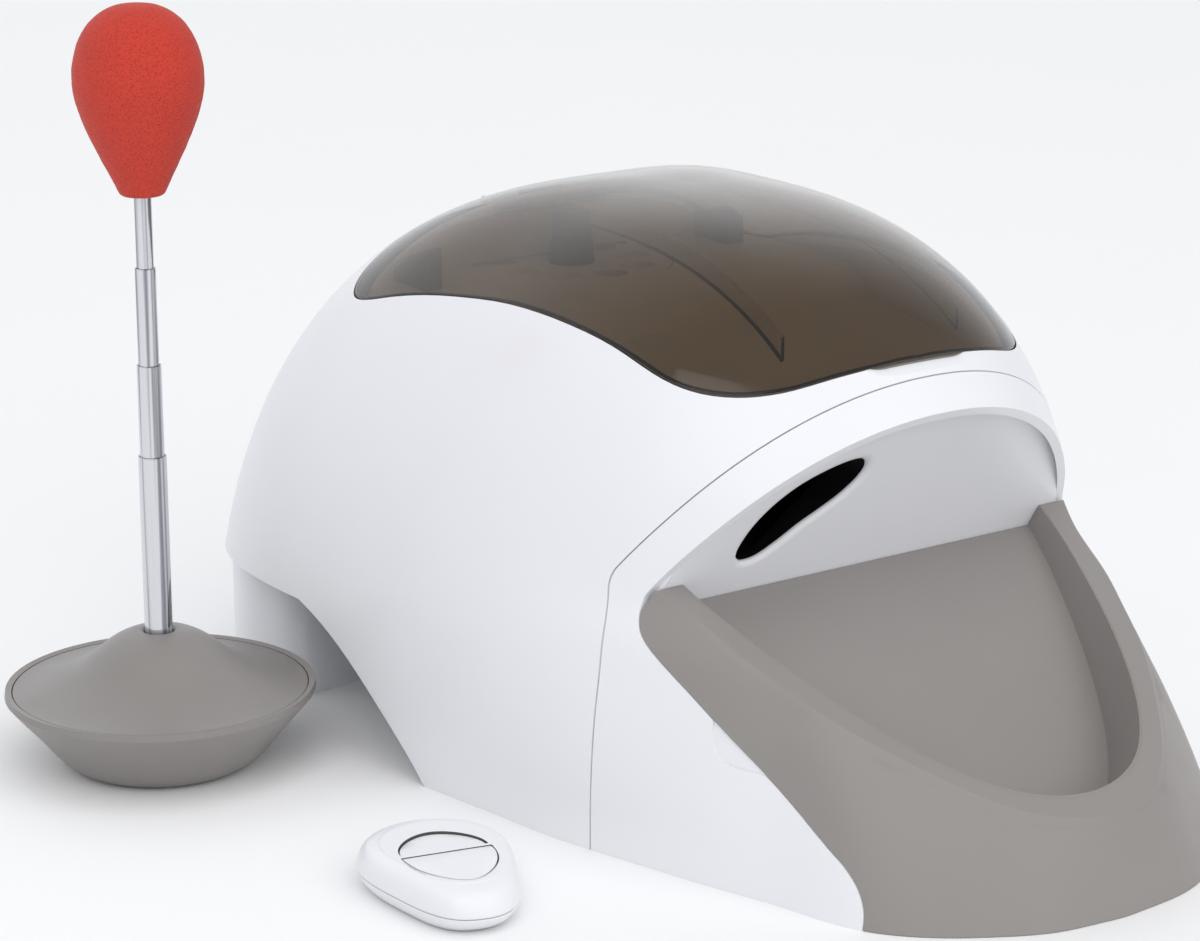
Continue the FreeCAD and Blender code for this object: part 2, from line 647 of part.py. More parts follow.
def make_lid_seat():
    """Band glued under the shell's opening, on which the lid and the tub rest."""
    band = skin(SHELL_WALL + TOUCH_GAP, SHELL_WALL + LEDGE_THICK).common(lid_band(LEDGE_REACH, -LEDGE_WIDTH))
    return band.cut(box(-HINGE_HALF - 1, HINGE_HALF + 1, LID_REAR_Y - LEDGE_WIDTH - 2, FAR, LEDGE_LOW, FAR))


def make_seam_strip():
    """Strip glued behind the joint line, across shell and fascia."""
    band = ahead_of_seam(STRIP_REACH).cut(ahead_of_seam(-STRIP_REACH))
    strip = skin(SHELL_WALL + TOUCH_GAP, SHELL_WALL + STRIP_THICK).common(band)
    strip = strip.cut(face_space(SHELL_WALL + SEAT_GAP, HULL_HEIGHT)).cut(mouth_space(SHELL_WALL))
    strip = strip.cut(prism(lid_outline(LEDGE_REACH + SEAT_GAP), LEDGE_LOW, FAR))
    return strip.cut(box(-FAR, FAR, -FAR, FAR, -10, PAN_THICK + SEAT_GAP))


def make_lid():
    """Smoked dome over the hopper, with its hinge knuckle."""
    dome = skin(0, LID_WALL).common(prism(lid_outline(0), LEDGE_LOW, FAR))
    half = HINGE_KNUCKLE_HALF
    arm = box(-half, half, LID_REAR_Y - 6, HINGE_Y, HINGE_Z - 2.0, HINGE_Z)
    knuckle = hinge_barrel(-half, half).fuse(arm)
    return dome.fuse(knuckle).cut(hinge_bore())


def make_lid_ribs():
    """Two stiffening ribs glued under the lid."""
    band = skin(LID_WALL + TOUCH_GAP, LID_WALL + LID_RIB_HEIGHT)
    ribs = []
    for x in (-LID_RIB_X, LID_RIB_X):
        ribs.append(band.common(box(x - LID_RIB_WIDTH / 2, x + LID_RIB_WIDTH / 2, LID_RIB_FRONT_Y, LID_RIB_REAR_Y,
                                    LEDGE_LOW, FAR)))
    return group(ribs)


def make_hinge_pin():
    """Steel pin through the ears and the lid's knuckle."""
    return cylinder(HINGE_PIN_R, V(-HINGE_HALF, HINGE_Y, HINGE_Z), V(HINGE_HALF, HINGE_Y, HINGE_Z))


def slot_prism(grow, y0, y1):
    """Prism along Y over the treat slot's outline, grown outwards."""
    moved = []
    ring = list(SLOT_OUTLINE)
    for i, (x, z) in enumerate(ring):
        (ax, az), (bx, bz) = ring[i - 1], ring[(i + 1) % len(ring)]
        length = math.hypot(bx - ax, bz - az)
        moved.append(V(x - grow * (bz - az) / length, y0, z + grow * (bx - ax) / length))
    return Part.Face(closed_wire(moved)).extrude(V(0, y1 - y0, 0))


def make_front_fascia():
    """White front shell around the mouth, with the two cheeks beside the tray."""
    fascia = skin(0, SHELL_WALL).common(ahead_of_seam(-SEAM_GAP / 2)).cut(mouth_space())
    for x, y in FASCIA_BOSSES:
        fascia = fascia.fuse(wall_boss(x, y, PAN_THICK, BOSS_TOP))
    return fascia


def make_face_plate():
    """Overhanging concave face with the treat slot, glued inside the fascia."""
    plate = face_space(FACE_THICK, HULL_HEIGHT).cut(face_space(0, HULL_HEIGHT + 1))
    plate = plate.common(hull(SHELL_WALL + TOUCH_GAP)).cut(slot_prism(0, -FAR, FAR))
    return max(plate.Solids, key=lambda solid: solid.Volume)


def make_slot_liner():
    """Black throat behind the treat slot."""
    front, back = -60.0, CHUTE_FRONT_Y - SEAT_GAP
    tube = slot_prism(LINER_WALL, front, back).cut(slot_prism(0, front - 1, back + 1))
    return tube.cut(face_space(FACE_THICK + TOUCH_GAP, HULL_HEIGHT))


def tray_cavity(grow, drop):
    """The tray's scoop: a tapered bowl cut off by the sloping floor, grown and dropped for the wall."""
    half = [(x + (grow if x > 0 else 0), y - (grow if y < RIM_Y - 2 else 0)) for x, y in TRAY_CAVITY]
    outlines = []
    for depth, share in ((-20.0, 1.06), (TRAY_CAVITY_DEPTH, TRAY_CAVITY_TAPER)):
        rows = [(x * share, RIM_Y + (y - RIM_Y) * share) for x, y in half]
        back = RIM_Y + 30
        right = [V(x, y, RIM_Z + RIM_SLOPE * (y - RIM_Y) - depth) for x, y in rows]
        left = [V(-p.x, p.y, p.z) for p in reversed(right[:-1])]
        curve = spline(right + left).toShape()
        z_back = RIM_Z + RIM_SLOPE * (back - RIM_Y) - depth
        corner_right = V(right[0].x, back, z_back)
        corner_left = V(-right[0].x, back, z_back)
        outlines.append(Part.Wire([curve, Part.makeLine(left[-1], corner_left),
                                   Part.makeLine(corner_left, corner_right), Part.makeLine(corner_right, right[0])]))
    bowl = Part.makeLoft(outlines, True, True)
    floor_y = FACE_FOOT_Y - (FACE_FOOT_Z - TRAY_FLOOR_STOP_Z) / TRAY_FLOOR_SLOPE
    back_z = FACE_FOOT_Z + TRAY_FLOOR_SLOPE * 60
    above = side_prism(side_lines([(-FAR, TRAY_FLOOR_STOP_Z - drop), (floor_y, TRAY_FLOOR_STOP_Z - drop),
                                   (FACE_FOOT_Y + 60, back_z - drop), (FACE_FOOT_Y + 60, FAR), (-FAR, FAR),
                                   (-FAR, TRAY_FLOOR_STOP_Z - drop)]))
    return bowl.common(above)


def below_rim(drop=0.0):
    """Everything below the tray's rim plane."""
    y0, y1 = -FAR, 60.0
    return side_prism(side_lines([(y0, RIM_Z + RIM_SLOPE * (y0 - RIM_Y) - drop), (y1, RIM_Z + RIM_SLOPE * (y1 - RIM_Y) - drop),
                                  (y1, -FAR), (y0, -FAR), (y0, RIM_Z + RIM_SLOPE * (y0 - RIM_Y) - drop)]))


def make_tray_skirt():
    """Grey outer flanks and nose below the tray's rim, open underneath."""
    skirt = skin(0, TRAY_WALL).common(mouth_space(-SLIDE_GAP)).common(below_rim(TRAY_RIM + TOUCH_GAP))
    return skirt.common(tray_room())


def make_tray_bowl():
    """Grey rim with the scoop, glued on the skirt."""
    rim = below_rim().cut(below_rim(TRAY_RIM)).common(hull()).common(mouth_space(-SLIDE_GAP)).common(tray_room())
    bowl = tray_cavity(TRAY_WALL, TRAY_WALL * 1.15).common(below_rim()).common(tray_room())
    return rim.fuse(bowl).cut(tray_cavity(0, 0))


def tray_room():
    """Everything ahead of the face, with the slide clearance."""
    return face_space(-SLIDE_GAP, HULL_HEIGHT).fuse(
        box(-FAR, FAR, -FAR, FACE_FOOT_Y - SLIDE_GAP, -5, FACE_FOOT_Z)).removeSplitter()


# ---- hopper and drive --------------------------------------------------------------------------------
def hopper_floor(drop):
    """Side view of the space above the hopper's floor, lowered by drop."""
    return side_prism(side_lines([(FAR, DECK_TOP - drop), (DECK_FRONT_Y, DECK_TOP - drop),
                                  (DECK_FRONT_Y - HOPPER_STEP, DECK_TOP - HOPPER_STEP - drop),
                                  (HOPPER_FRONT_Y, HOPPER_FRONT_Z - drop), (-FAR, HOPPER_FRONT_Z - drop),
                                  (-FAR, FAR), (FAR, FAR), (FAR, DECK_TOP - drop)]))


def make_hopper_tub():
    """Beige tub under the lid: deck around the treat disc, sloping front and rim wall."""
    inner = prism(lid_outline(TUB_GROW), HOPPER_LOW, FAR)
    room = prism(lid_outline(TUB_GROW - HOPPER_WALL), HOPPER_LOW - 1, FAR + 1)
    wall = inner.cut(room).common(hopper_floor(DECK_THICK))
    floor = inner.common(hopper_floor(DECK_THICK)).cut(hopper_floor(0))
    apron = box(-DECK_HALF, DECK_HALF, DISC_Y, DISC_Y + DISC_R + DISC_RIM, DECK_TOP - DECK_THICK, DECK_TOP)
    well = cylinder(DISC_R + DISC_GAP, V(0, DISC_Y, DECK_TOP - DISC_THICK * 2), V(0, DISC_Y, DECK_TOP + 1.0))
    return fused([wall, floor, apron]).cut(well).common(hull(DECK_INSET))


def make_disc_seat():
    """Round pan that carries the treat disc and has the drop hole over the chute."""
    low = DECK_TOP - DISC_THICK - SEAT_GAP - DECK_THICK
    pan = cylinder(DISC_R + DISC_RIM, V(0, DISC_Y, low), V(0, DISC_Y, DECK_TOP - DECK_THICK))
    well = cylinder(DISC_R + DISC_GAP, V(0, DISC_Y, low + DECK_THICK), V(0, DISC_Y, DECK_TOP))
    drop = cylinder(DISC_HOLE_R + 1.5, V(0, DISC_Y - DISC_HOLE_RING, low - 1), V(0, DISC_Y - DISC_HOLE_RING, DECK_TOP))
    bush = cylinder(SPINDLE_BUSH_R, V(0, DISC_Y, low - BUSH_DROP), V(0, DISC_Y, low))
    bore = cylinder(SPINDLE_R + SPINDLE_FIT, V(0, DISC_Y, low - BUSH_DROP - 1), V(0, DISC_Y, DECK_TOP))
    return fused([pan.cut(well), bush]).cut(drop).cut(bore)


def make_treat_disc():
    """Turning disc with a ring of treat pockets."""
    low = DECK_TOP - DISC_THICK
    disc = cylinder(DISC_R, V(0, DISC_Y, low), V(0, DISC_Y, DECK_TOP))
    for i in range(DISC_HOLES):
        angle = -math.pi / 2 + 2 * math.pi * i / DISC_HOLES
        x, y = DISC_HOLE_RING * math.cos(angle), DISC_Y + DISC_HOLE_RING * math.sin(angle)
        disc = disc.cut(cylinder(DISC_HOLE_R, V(x, y, low - 1), V(x, y, DECK_TOP + 1)))
    return disc.cut(cylinder(SPINDLE_R, V(0, DISC_Y, low - 1), V(0, DISC_Y, DECK_TOP + 1)))


def make_disc_hub():
    """Grey tapered knob that holds the disc on its spindle."""
    hub = Part.makeCone(HUB_BASE_R, HUB_TOP_R, HUB_HEIGHT, V(0, DISC_Y, DECK_TOP))
    return hub.cut(cylinder(SPINDLE_R, V(0, DISC_Y, DECK_TOP - 1), V(0, DISC_Y, DECK_TOP + SPINDLE_GRIP)))


def make_spindle():
    """Upright drive shaft of the disc."""
    return cylinder(SPINDLE_R, V(0, DISC_Y, DRIVE_Z - FRAME_THICK), V(0, DISC_Y, DECK_TOP + SPINDLE_GRIP))


def gear_outline(teeth, phase, thin):
    """Straight-sided tooth outline of a spur gear about the origin."""
    pitch = GEAR_MODULE * teeth / 2
    points = []
    for i in range(teeth):
        middle = phase + 2 * math.pi * i / teeth
        quarter = math.pi / (2 * teeth)
        for radius, width in ((pitch - 1.2 * GEAR_MODULE, 1.65), (pitch, 0.98), (pitch + 0.85 * GEAR_MODULE, 0.42)):
            points.append((radius, middle - quarter * width + thin / pitch))
        for radius, width in ((pitch + 0.85 * GEAR_MODULE, 0.42), (pitch, 0.98), (pitch - 1.2 * GEAR_MODULE, 1.65)):
            points.append((radius, middle + quarter * width - thin / pitch))
    return [(r * math.cos(a), r * math.sin(a)) for r, a in points]


PINION_X = GEAR_MODULE * (WHEEL_TEETH + PINION_TEETH) / 2


def make_disc_gear():
    """Large gear pressed on the spindle."""
    outline = [(x, y + DISC_Y) for x, y in gear_outline(WHEEL_TEETH, math.pi / WHEEL_TEETH, GEAR_BACKLASH / 2)]
    gear = polygon_prism(outline, DRIVE_Z, DRIVE_Z + GEAR_THICK)
    return gear.cut(cylinder(SPINDLE_R, V(0, DISC_Y, DRIVE_Z - 1), V(0, DISC_Y, DRIVE_Z + GEAR_THICK + 1)))


def make_motor_pinion():
    """Small gear on the motor's shaft."""
    outline = [(x + PINION_X, y + DISC_Y) for x, y in gear_outline(PINION_TEETH, math.pi, GEAR_BACKLASH / 2)]
    gear = polygon_prism(outline, DRIVE_Z, DRIVE_Z + GEAR_THICK)
    return gear.cut(cylinder(MOTOR_SHAFT_R, V(PINION_X, DISC_Y, DRIVE_Z - 1), V(PINION_X, DISC_Y, DRIVE_Z + GEAR_THICK + 1)))


def make_motor_shaft():
    """Output shaft of the gear motor."""
    return cylinder(MOTOR_SHAFT_R, V(PINION_X, DISC_Y, MOTOR_TOP), V(PINION_X, DISC_Y, DRIVE_Z + GEAR_THICK))


MOTOR_TOP = DRIVE_Z - FRAME_GAP - FRAME_THICK


def make_gear_motor():
    """Motor with its gearbox, hung under the drive frame."""
    gearbox = box(PINION_X - MOTOR_R - 2, PINION_X + MOTOR_R + 2, DISC_Y - MOTOR_R - 2, DISC_Y + MOTOR_R + 2,
                  MOTOR_TOP - GEARBOX_HEIGHT, MOTOR_TOP)
    can = cylinder(MOTOR_R, V(PINION_X, DISC_Y, MOTOR_TOP - GEARBOX_HEIGHT - MOTOR_LENGTH),
                   V(PINION_X, DISC_Y, MOTOR_TOP - GEARBOX_HEIGHT))
    return fused([gearbox, can])


def make_drive_frame():
    """Plate under the gears, hung from the hopper tub by four posts."""
    plate = box(-FRAME_HALF, FRAME_HALF + 12, DISC_Y - FRAME_HALF * 0.55, DISC_Y + FRAME_HALF * 0.55,
                MOTOR_TOP, MOTOR_TOP + FRAME_THICK)
    posts = []
    for x in (-FRAME_HALF + 5, FRAME_HALF + 7):
        for y in (DISC_Y - FRAME_HALF * 0.55 + 5, DISC_Y + FRAME_HALF * 0.55 - 5):
            posts.append(cylinder(4.0, V(x, y, MOTOR_TOP + FRAME_THICK), V(x, y, DECK_TOP - DECK_THICK)))
    holes = [cylinder(SPINDLE_R + SPINDLE_FIT, V(0, DISC_Y, 0), V(0, DISC_Y, DECK_TOP)),
             cylinder(MOTOR_SHAFT_R + SPINDLE_FIT, V(PINION_X, DISC_Y, 0), V(PINION_X, DISC_Y, DECK_TOP))]
    frame = fused([plate] + posts)
    for hole in holes:
        frame = frame.cut(hole)
    return frame


def chute_solid(margin):
    """Straight slanted channel from the drop hole to the slot, grown by margin."""
    sections = []
    for x, y, z in ((CHUTE_X, CHUTE_FRONT_Y, CHUTE_FRONT_Z), (0, CHUTE_REAR_Y, CHUTE_REAR_Z)):
        half, top = CHUTE_WIDTH / 2 + margin, z + CHUTE_SIDE
        low = z - margin
        corners = [V(x - half, y, low), V(x + half, y, low), V(x + half, y, top), V(x - half, y, top)]
        sections.append(Part.makePolygon(corners + corners[:1]))
    return Part.makeLoft(sections, True, True)


def make_treat_chute():
    """Open-topped slide that leads a treat from the disc to the slot."""
    inner = chute_solid(0)
    grown = inner.copy()
    grown.translate(V(0, -1, 0.01))
    stop = box(-CHUTE_WIDTH / 2 - CHUTE_WALL, CHUTE_WIDTH / 2 + CHUTE_WALL, CHUTE_REAR_Y, CHUTE_REAR_Y + CHUTE_WALL,
               CHUTE_REAR_Z - CHUTE_WALL, CHUTE_REAR_Z + CHUTE_SIDE * 0.6)
    low = DECK_TOP - DISC_THICK - SEAT_GAP - DECK_THICK
    return fused([chute_solid(CHUTE_WALL).cut(grown), stop]).common(box(-FAR, FAR, -FAR, FAR, 0, low - SEAT_GAP))


def make_brackets():
    """Pair of grey catches beside the disc."""
    post = box(BRACKET_X - BRACKET_WIDTH, BRACKET_X, BRACKET_Y, BRACKET_Y + BRACKET_LENGTH, DECK_TOP, FAR)
    post = post.common(hull(DECK_INSET + BRACKET_ROOM))
    cut = box(BRACKET_X - BRACKET_WIDTH + 1.6, BRACKET_X + 1, BRACKET_Y + 1.6, BRACKET_Y + BRACKET_LENGTH - 1.6,
              DECK_TOP + 1.6, FAR)
    bracket = post.cut(cut)
    return group([bracket, mirrored(bracket)])


# ---- underside -------------------------------------------------------------------------------------------
def pan_plate():
    """Flat front plate and curved belly as one skin."""
    flat = box(-FAR, FAR, PAN_FRONT_Y, ARCH_START_Y - BELLY_RISE, 0, PAN_THICK)
    belly = arch_space(BELLY_RISE + PAN_THICK).cut(arch_space(BELLY_RISE)).cut(box(-FAR, FAR, -FAR, FAR, -10, 0))
    return flat.fuse(belly)


def pad_holes(depth):
    """Round pockets for the foot pads."""
    return [cylinder(FOOT_PAD_R, V(x, y, -1), V(x, y, depth)) for x, y in FOOT_PADS]


def screw_spots():
    """Places of the underside screws."""
    return list(BODY_BOSSES) + list(FASCIA_BOSSES)


def leg_outline(grow):
    """Plan outline of the rear leg."""
    tail = [(x, y) for x, y in ring_points(LEG_LEVEL, LEG_INSET - grow) if x > 0.5 and y > LEG_TAIL_Y]
    front = [(x + (grow if x > 60 else 0), y - grow) for x, y in LEG_FRONT]
    last = ring_points(LEG_LEVEL, LEG_INSET - grow)[len(RING_ANGLES) - 1]
    return both_sides(front + tail + [last])


def make_base_pan():
    """White underside: flat in front, arched over the gap, with the rear leg that holds the batteries."""
    below = arch_space(BELLY_RISE + 0.5)
    walls = prism(leg_outline(0), 0, FAR).cut(prism(leg_outline(-LEG_WALL), LEG_WALL, FAR + 1)).common(below)
    half_x, y0, y1 = bay_size()
    walls = walls.cut(box(-half_x - DOOR_MARGIN, half_x + DOOR_MARGIN, y0 - DOOR_MARGIN, y1 + DOOR_MARGIN, -1, LEG_WALL + 1))
    pan = fused([pan_plate(), walls]).common(hull(SHELL_WALL + SEAT_GAP))
    for hole in pad_holes(FOOT_PAD_THICK):
        pan = pan.cut(hole)
    for x, y in screw_spots():
        pan = pan.cut(cylinder(SCREW_R + SEAT_GAP, V(x, y, -1), V(x, y, PAN_THICK + 1)))
        pan = pan.cut(cylinder(SCREW_HEAD_R + SEAT_GAP, V(x, y, -1), V(x, y, SCREW_HEAD / 2)))
    for i in range(-3, 4):
        pan = pan.cut(cylinder(1.5, V(SPEAKER_X + i * 4.5, SPEAKER_Y, -1), V(SPEAKER_X + i * 4.5, SPEAKER_Y, PAN_THICK + 1)))
    return pan


def bay_size():
    """Half width, front and rear of the battery bay's floor opening."""
    half = CELL_COUNT * (2 * CELL_R + CELL_GAP) / 2 + BAY_WALL
    return half, BAY_FRONT_Y, BAY_FRONT_Y + CELL_LENGTH + CELL_NUB_LENGTH + 2 * BAY_END_ROOM


def make_foot_pads():
    """Rubber pads let into the underside, flush with it."""
    return group([cylinder(FOOT_PAD_R, V(x, y, 0), V(x, y, FOOT_PAD_THICK)) for x, y in FOOT_PADS])


def make_battery_bay():
    """Open-bottomed tub around the four cells."""
    half, y0, y1 = bay_size()
    z1 = BAY_LOW + 2 * CELL_R + CELL_GAP + BAY_WALL
    tub = box(-half, half, y0, y1, BAY_LOW, z1)
    room = box(-half + BAY_WALL, half - BAY_WALL, y0 + BAY_WALL, y1 - BAY_WALL, BAY_LOW - 1, z1 - BAY_WALL)
    return tub.cut(room)


def cell_spots():
    """X of each cell and whether its nub points to the rear."""
    step = 2 * CELL_R + CELL_GAP
    return [((i - (CELL_COUNT - 1) / 2) * step, i % 2 == 0) for i in range(CELL_COUNT)]


def make_cells():
    """Four large cells side by side, alternately turned."""
    _, y0, y1 = bay_size()
    z = BAY_LOW + CELL_R + CELL_GAP / 2
    cells = []
    for x, rear in cell_spots():
        start, end = (y0 + BAY_END_ROOM, 1) if rear else (y1 - BAY_END_ROOM, -1)
        can = cylinder(CELL_R, V(x, start, z), V(x, start + end * CELL_LENGTH, z))
        nub_y = start + end * CELL_LENGTH
        nub = cylinder(CELL_NUB_R, V(x, nub_y, z), V(x, nub_y + end * CELL_NUB_LENGTH, z))
        cells.append(can.fuse(nub))
    return group(cells)


def make_contacts():
    """Plate contact at each nub and coil-spring cup at each flat end."""
    _, y0, y1 = bay_size()
    z = BAY_LOW + CELL_R + CELL_GAP / 2
    pieces = []
    for x, rear in cell_spots():
        for y_wall, inward in ((y0 + BAY_WALL, 1), (y1 - BAY_WALL, -1)):
            at_nub = (inward == -1) == rear
            face = y_wall + inward * CONTACT_THICK
            plate = box(x - 7, x + 7, min(y_wall, face), max(y_wall, face), z - 7, z + 7)
            reach = BAY_END_ROOM - BAY_WALL - CONTACT_THICK - (CELL_NUB_LENGTH if at_nub else 0)
            post = cylinder(3.0, V(x, face, z), V(x, face + inward * reach, z))
            pieces.append(plate.fuse(post))
    return group(pieces)


def make_battery_door():
    """Flat cover of the battery bay, which slides back to unhook."""
    half, y0, y1 = bay_size()
    low = DOOR_RECESS
    door = box(-half - DOOR_MARGIN + SLIDE_GAP, half + DOOR_MARGIN - SLIDE_GAP, y0 - DOOR_MARGIN + SLIDE_GAP,
               y1 + DOOR_MARGIN - SLIDE_GAP, low, low + DOOR_THICK)
    for i in range(3):
        y = y1 - 4 - 3 * i
        door = door.cut(box(-15, 15, y - 0.6, y + 0.6, low - 1, low + 0.6))
    return door


def make_speaker():
    """Tone speaker on the underside plate."""
    basket = Part.makeCone(SPEAKER_R, SPEAKER_R * 0.55, SPEAKER_DEPTH * 0.6, V(SPEAKER_X, SPEAKER_Y, PAN_THICK))
    magnet = cylinder(SPEAKER_R * 0.5, V(SPEAKER_X, SPEAKER_Y, PAN_THICK + SPEAKER_DEPTH * 0.6),
                      V(SPEAKER_X, SPEAKER_Y, PAN_THICK + SPEAKER_DEPTH))
    return fused([basket, magnet])


def make_main_board():
    """Circuit board on four posts on the underside plate."""
    board = box(BOARD_X - BOARD_WIDTH / 2, BOARD_X + BOARD_WIDTH / 2, BOARD_Y - BOARD_LENGTH / 2,
                BOARD_Y + BOARD_LENGTH / 2, PAN_THICK + BOARD_POST, PAN_THICK + BOARD_POST + BOARD_THICK)
    posts = []
    for sx in (-1, 1):
        for sy in (-1, 1):
            x, y = BOARD_X + sx * (BOARD_WIDTH / 2 - 5), BOARD_Y + sy * (BOARD_LENGTH / 2 - 5)
            posts.append(cylinder(2.5, V(x, y, PAN_THICK), V(x, y, PAN_THICK + BOARD_POST)))
    top = PAN_THICK + BOARD_POST + BOARD_THICK
    chips = [box(BOARD_X - 8, BOARD_X + 8, BOARD_Y - 8, BOARD_Y + 8, top, top + 2.0),
             box(BOARD_X + 18, BOARD_X + 30, BOARD_Y - 12, BOARD_Y + 2, top, top + 9.0)]
    return fused([board] + posts + chips)


def make_case_screws():
    """Screws that hold the underside plate to the shells' bosses."""
    screws = []
    for x, y in screw_spots():
        head = cylinder(SCREW_HEAD_R, V(x, y, SCREW_HEAD / 2 - 0.8), V(x, y, SCREW_HEAD / 2))
        shank = cylinder(SCREW_R, V(x, y, SCREW_HEAD / 2), V(x, y, SCREW_LENGTH))
        screws.append(head.fuse(shank))
    return group(screws)


# ---- control panel ---------------------------------------------------------------------------------------
def make_control_panel():
    """Recessed plate on the tail with the screen's window and the button holes."""
    block = panel_place(rounded_plate(PANEL_WIDTH, PANEL_HEIGHT, PANEL_RADIUS, -PANEL_THICK, 60)).common(hull())
    room = rounded_plate(PANEL_WIDTH - 2 * PANEL_THICK, PANEL_HEIGHT - 2 * PANEL_THICK,
                         PANEL_RADIUS - PANEL_THICK, 0, 70)
    cuts = [room, box(-SCREEN_WIDTH / 2, SCREEN_WIDTH / 2, -20, 20, -SCREEN_HEIGHT / 2, SCREEN_HEIGHT / 2)]
    for x, z in BUTTON_SPOTS:
        cuts.append(cylinder(BUTTON_R + SLIDE_GAP, V(x, -20, z), V(x, 20, z)))
    cuts.append(box(-SWITCH_LENGTH / 2 - SWITCH_TRAVEL - 1, SWITCH_LENGTH / 2 + SWITCH_TRAVEL + 1, -20, 20,
                    SWITCH_Z - SWITCH_WIDTH / 2 - SLIDE_GAP, SWITCH_Z + SWITCH_WIDTH / 2 + SLIDE_GAP))
    for cut in cuts:
        block = block.cut(panel_place(cut))
    return block


def make_screen():
    """Liquid-crystal display in the panel's window."""
    return panel_place(box(-SCREEN_WIDTH / 2 + 0.1, SCREEN_WIDTH / 2 - 0.1, -PANEL_THICK - SCREEN_THICK, -0.6,
                           -SCREEN_HEIGHT / 2 + 0.1, SCREEN_HEIGHT / 2 - 0.1))


def make_panel_board():
    """Circuit board behind the panel, which carries the screen."""
    back = -PANEL_THICK - SCREEN_THICK
    board = box(-PANEL_WIDTH / 2 + 3, PANEL_WIDTH / 2 - 3, back - BOARD_THICK, back, -PANEL_HEIGHT / 2 + 3,
                PANEL_HEIGHT / 2 - 3)
    posts = []
    for sx in (-1, 1):
        for sz in (-1, 1):
            x, z = sx * (PANEL_WIDTH / 2 - 7), sz * (PANEL_HEIGHT / 2 - 5)
            posts.append(cylinder(1.6, V(x, back, z), V(x, -PANEL_THICK, z)))
    return panel_place(fused([board] + posts))


def make_button(index):
    """One sprung push button of the panel."""
    x, z = BUTTON_SPOTS[index]
    cap = cylinder(BUTTON_R, V(x, -PANEL_THICK - 0.2 + BUTTON_TRAVEL * 0, z), V(x, BUTTON_HEIGHT - PANEL_THICK - 2, z))
    return panel_place(cap)


def make_power_switch():
    """Sliding switch under the screen."""
    knob = box(-SWITCH_LENGTH / 2 - SWITCH_TRAVEL / 2, SWITCH_LENGTH / 2 - SWITCH_TRAVEL / 2, -PANEL_THICK - 0.2, 1.6,
               SWITCH_Z - SWITCH_WIDTH / 2, SWITCH_Z + SWITCH_WIDTH / 2)
    return panel_place(knob)


# ---- target wand ------------------------------------------------------------------------------------------
def make_wand_bowl():
    """Grey lower half of the wand's foot: a bowl with a rolled rim."""
    outer = [(0, 0), (WAND_FOOT_R - 5, 0),
             ("curve", [(WAND_FOOT_R - 5, 0), (WAND_FOOT_R + 2.5, 3.5), (53.0, 16.0), (62.5, 27.0), (WAND_RIM_R, WAND_RIM_Z - 1.5)]),
             (WAND_RIM_R - 0.4, WAND_RIM_Z + 1.2), (WAND_SEAT_R, WAND_RIM_Z + 0.6), (WAND_SEAT_R, WAND_RIM_Z - 2.7),
             ("curve", [(WAND_SEAT_R - 1.2, WAND_RIM_Z - 3.2), (WAND_SEAT_R - 4.0, WAND_RIM_Z - 4.6), (51.0, 18.5), (41.0, 8.0), (WAND_FOOT_R - 6, WAND_WALL)]),
             (0, WAND_WALL)]
    bowl = revolved(outer, WAND_X, WAND_Y)
    socket = cylinder(SOCKET_R - 1.5, V(WAND_X, WAND_Y, WAND_WALL), V(WAND_X, WAND_Y, SOCKET_FLOOR_Z))
    return fused([bowl, socket])


def make_wand_cover():
    """Grey upper half of the wand's foot, bell-shaped with a hole for the rod."""
    top, rim = WAND_TOP_Z, WAND_RIM_Z
    wall = WAND_WALL
    hole = TUBE_OUTER[0] + SEAT_GAP
    profile = [(hole, top - 1.0), (hole + 1.2, top),
               ("curve", [(hole + 1.2, top), (WAND_TOP_R, top - 0.8), (22.0, top - 5.5), (32.0, top - 13.5),
                          (42.0, top - 19.5), (53.0, top - 23.5), (WAND_SEAT_R - SEAT_GAP, rim + 0.6)]),
               (WAND_SEAT_R - SEAT_GAP, rim - 1.6),
               ("curve", [(WAND_SEAT_R - SEAT_GAP - 0.5, rim - 2.4), (52.0, top - 23.5 - wall), (41.0, top - 19.5 - wall),
                          (30.5, top - 13.5 - wall), (20.5, top - 5.5 - wall * 1.1), (SOCKET_R, top - 1.2 - wall)]),
               (SOCKET_R, SOCKET_FLOOR_Z + SEAT_GAP), (hole, SOCKET_FLOOR_Z + SEAT_GAP)]
    return revolved(profile, WAND_X, WAND_Y)


def make_wand_weight():
    """Steel ballast disc in the bowl."""
    low = WAND_WALL + SEAT_GAP
    disc = cylinder(WAND_WEIGHT_R - 2, V(WAND_X, WAND_Y, low), V(WAND_X, WAND_Y, low + WAND_WEIGHT_THICK))
    return disc.cut(cylinder(SOCKET_R, V(WAND_X, WAND_Y, 0), V(WAND_X, WAND_Y, low + WAND_WEIGHT_THICK + 1)))


def make_wand_tube(index):
    """One telescoping section of chromed tube, with the lip that stops the next one."""
    outer = TUBE_OUTER[index]
    top = TUBE_TOPS[index]
    low = SOCKET_FLOOR_Z if index == 0 else TUBE_TOPS[index - 1] - TUBE_OVERLAP
    tube = cylinder(outer, V(WAND_X, WAND_Y, low), V(WAND_X, WAND_Y, top))
    tube = tube.cut(cylinder(outer - TUBE_WALL, V(WAND_X, WAND_Y, low - 1), V(WAND_X, WAND_Y, top + 1)))
    return tube


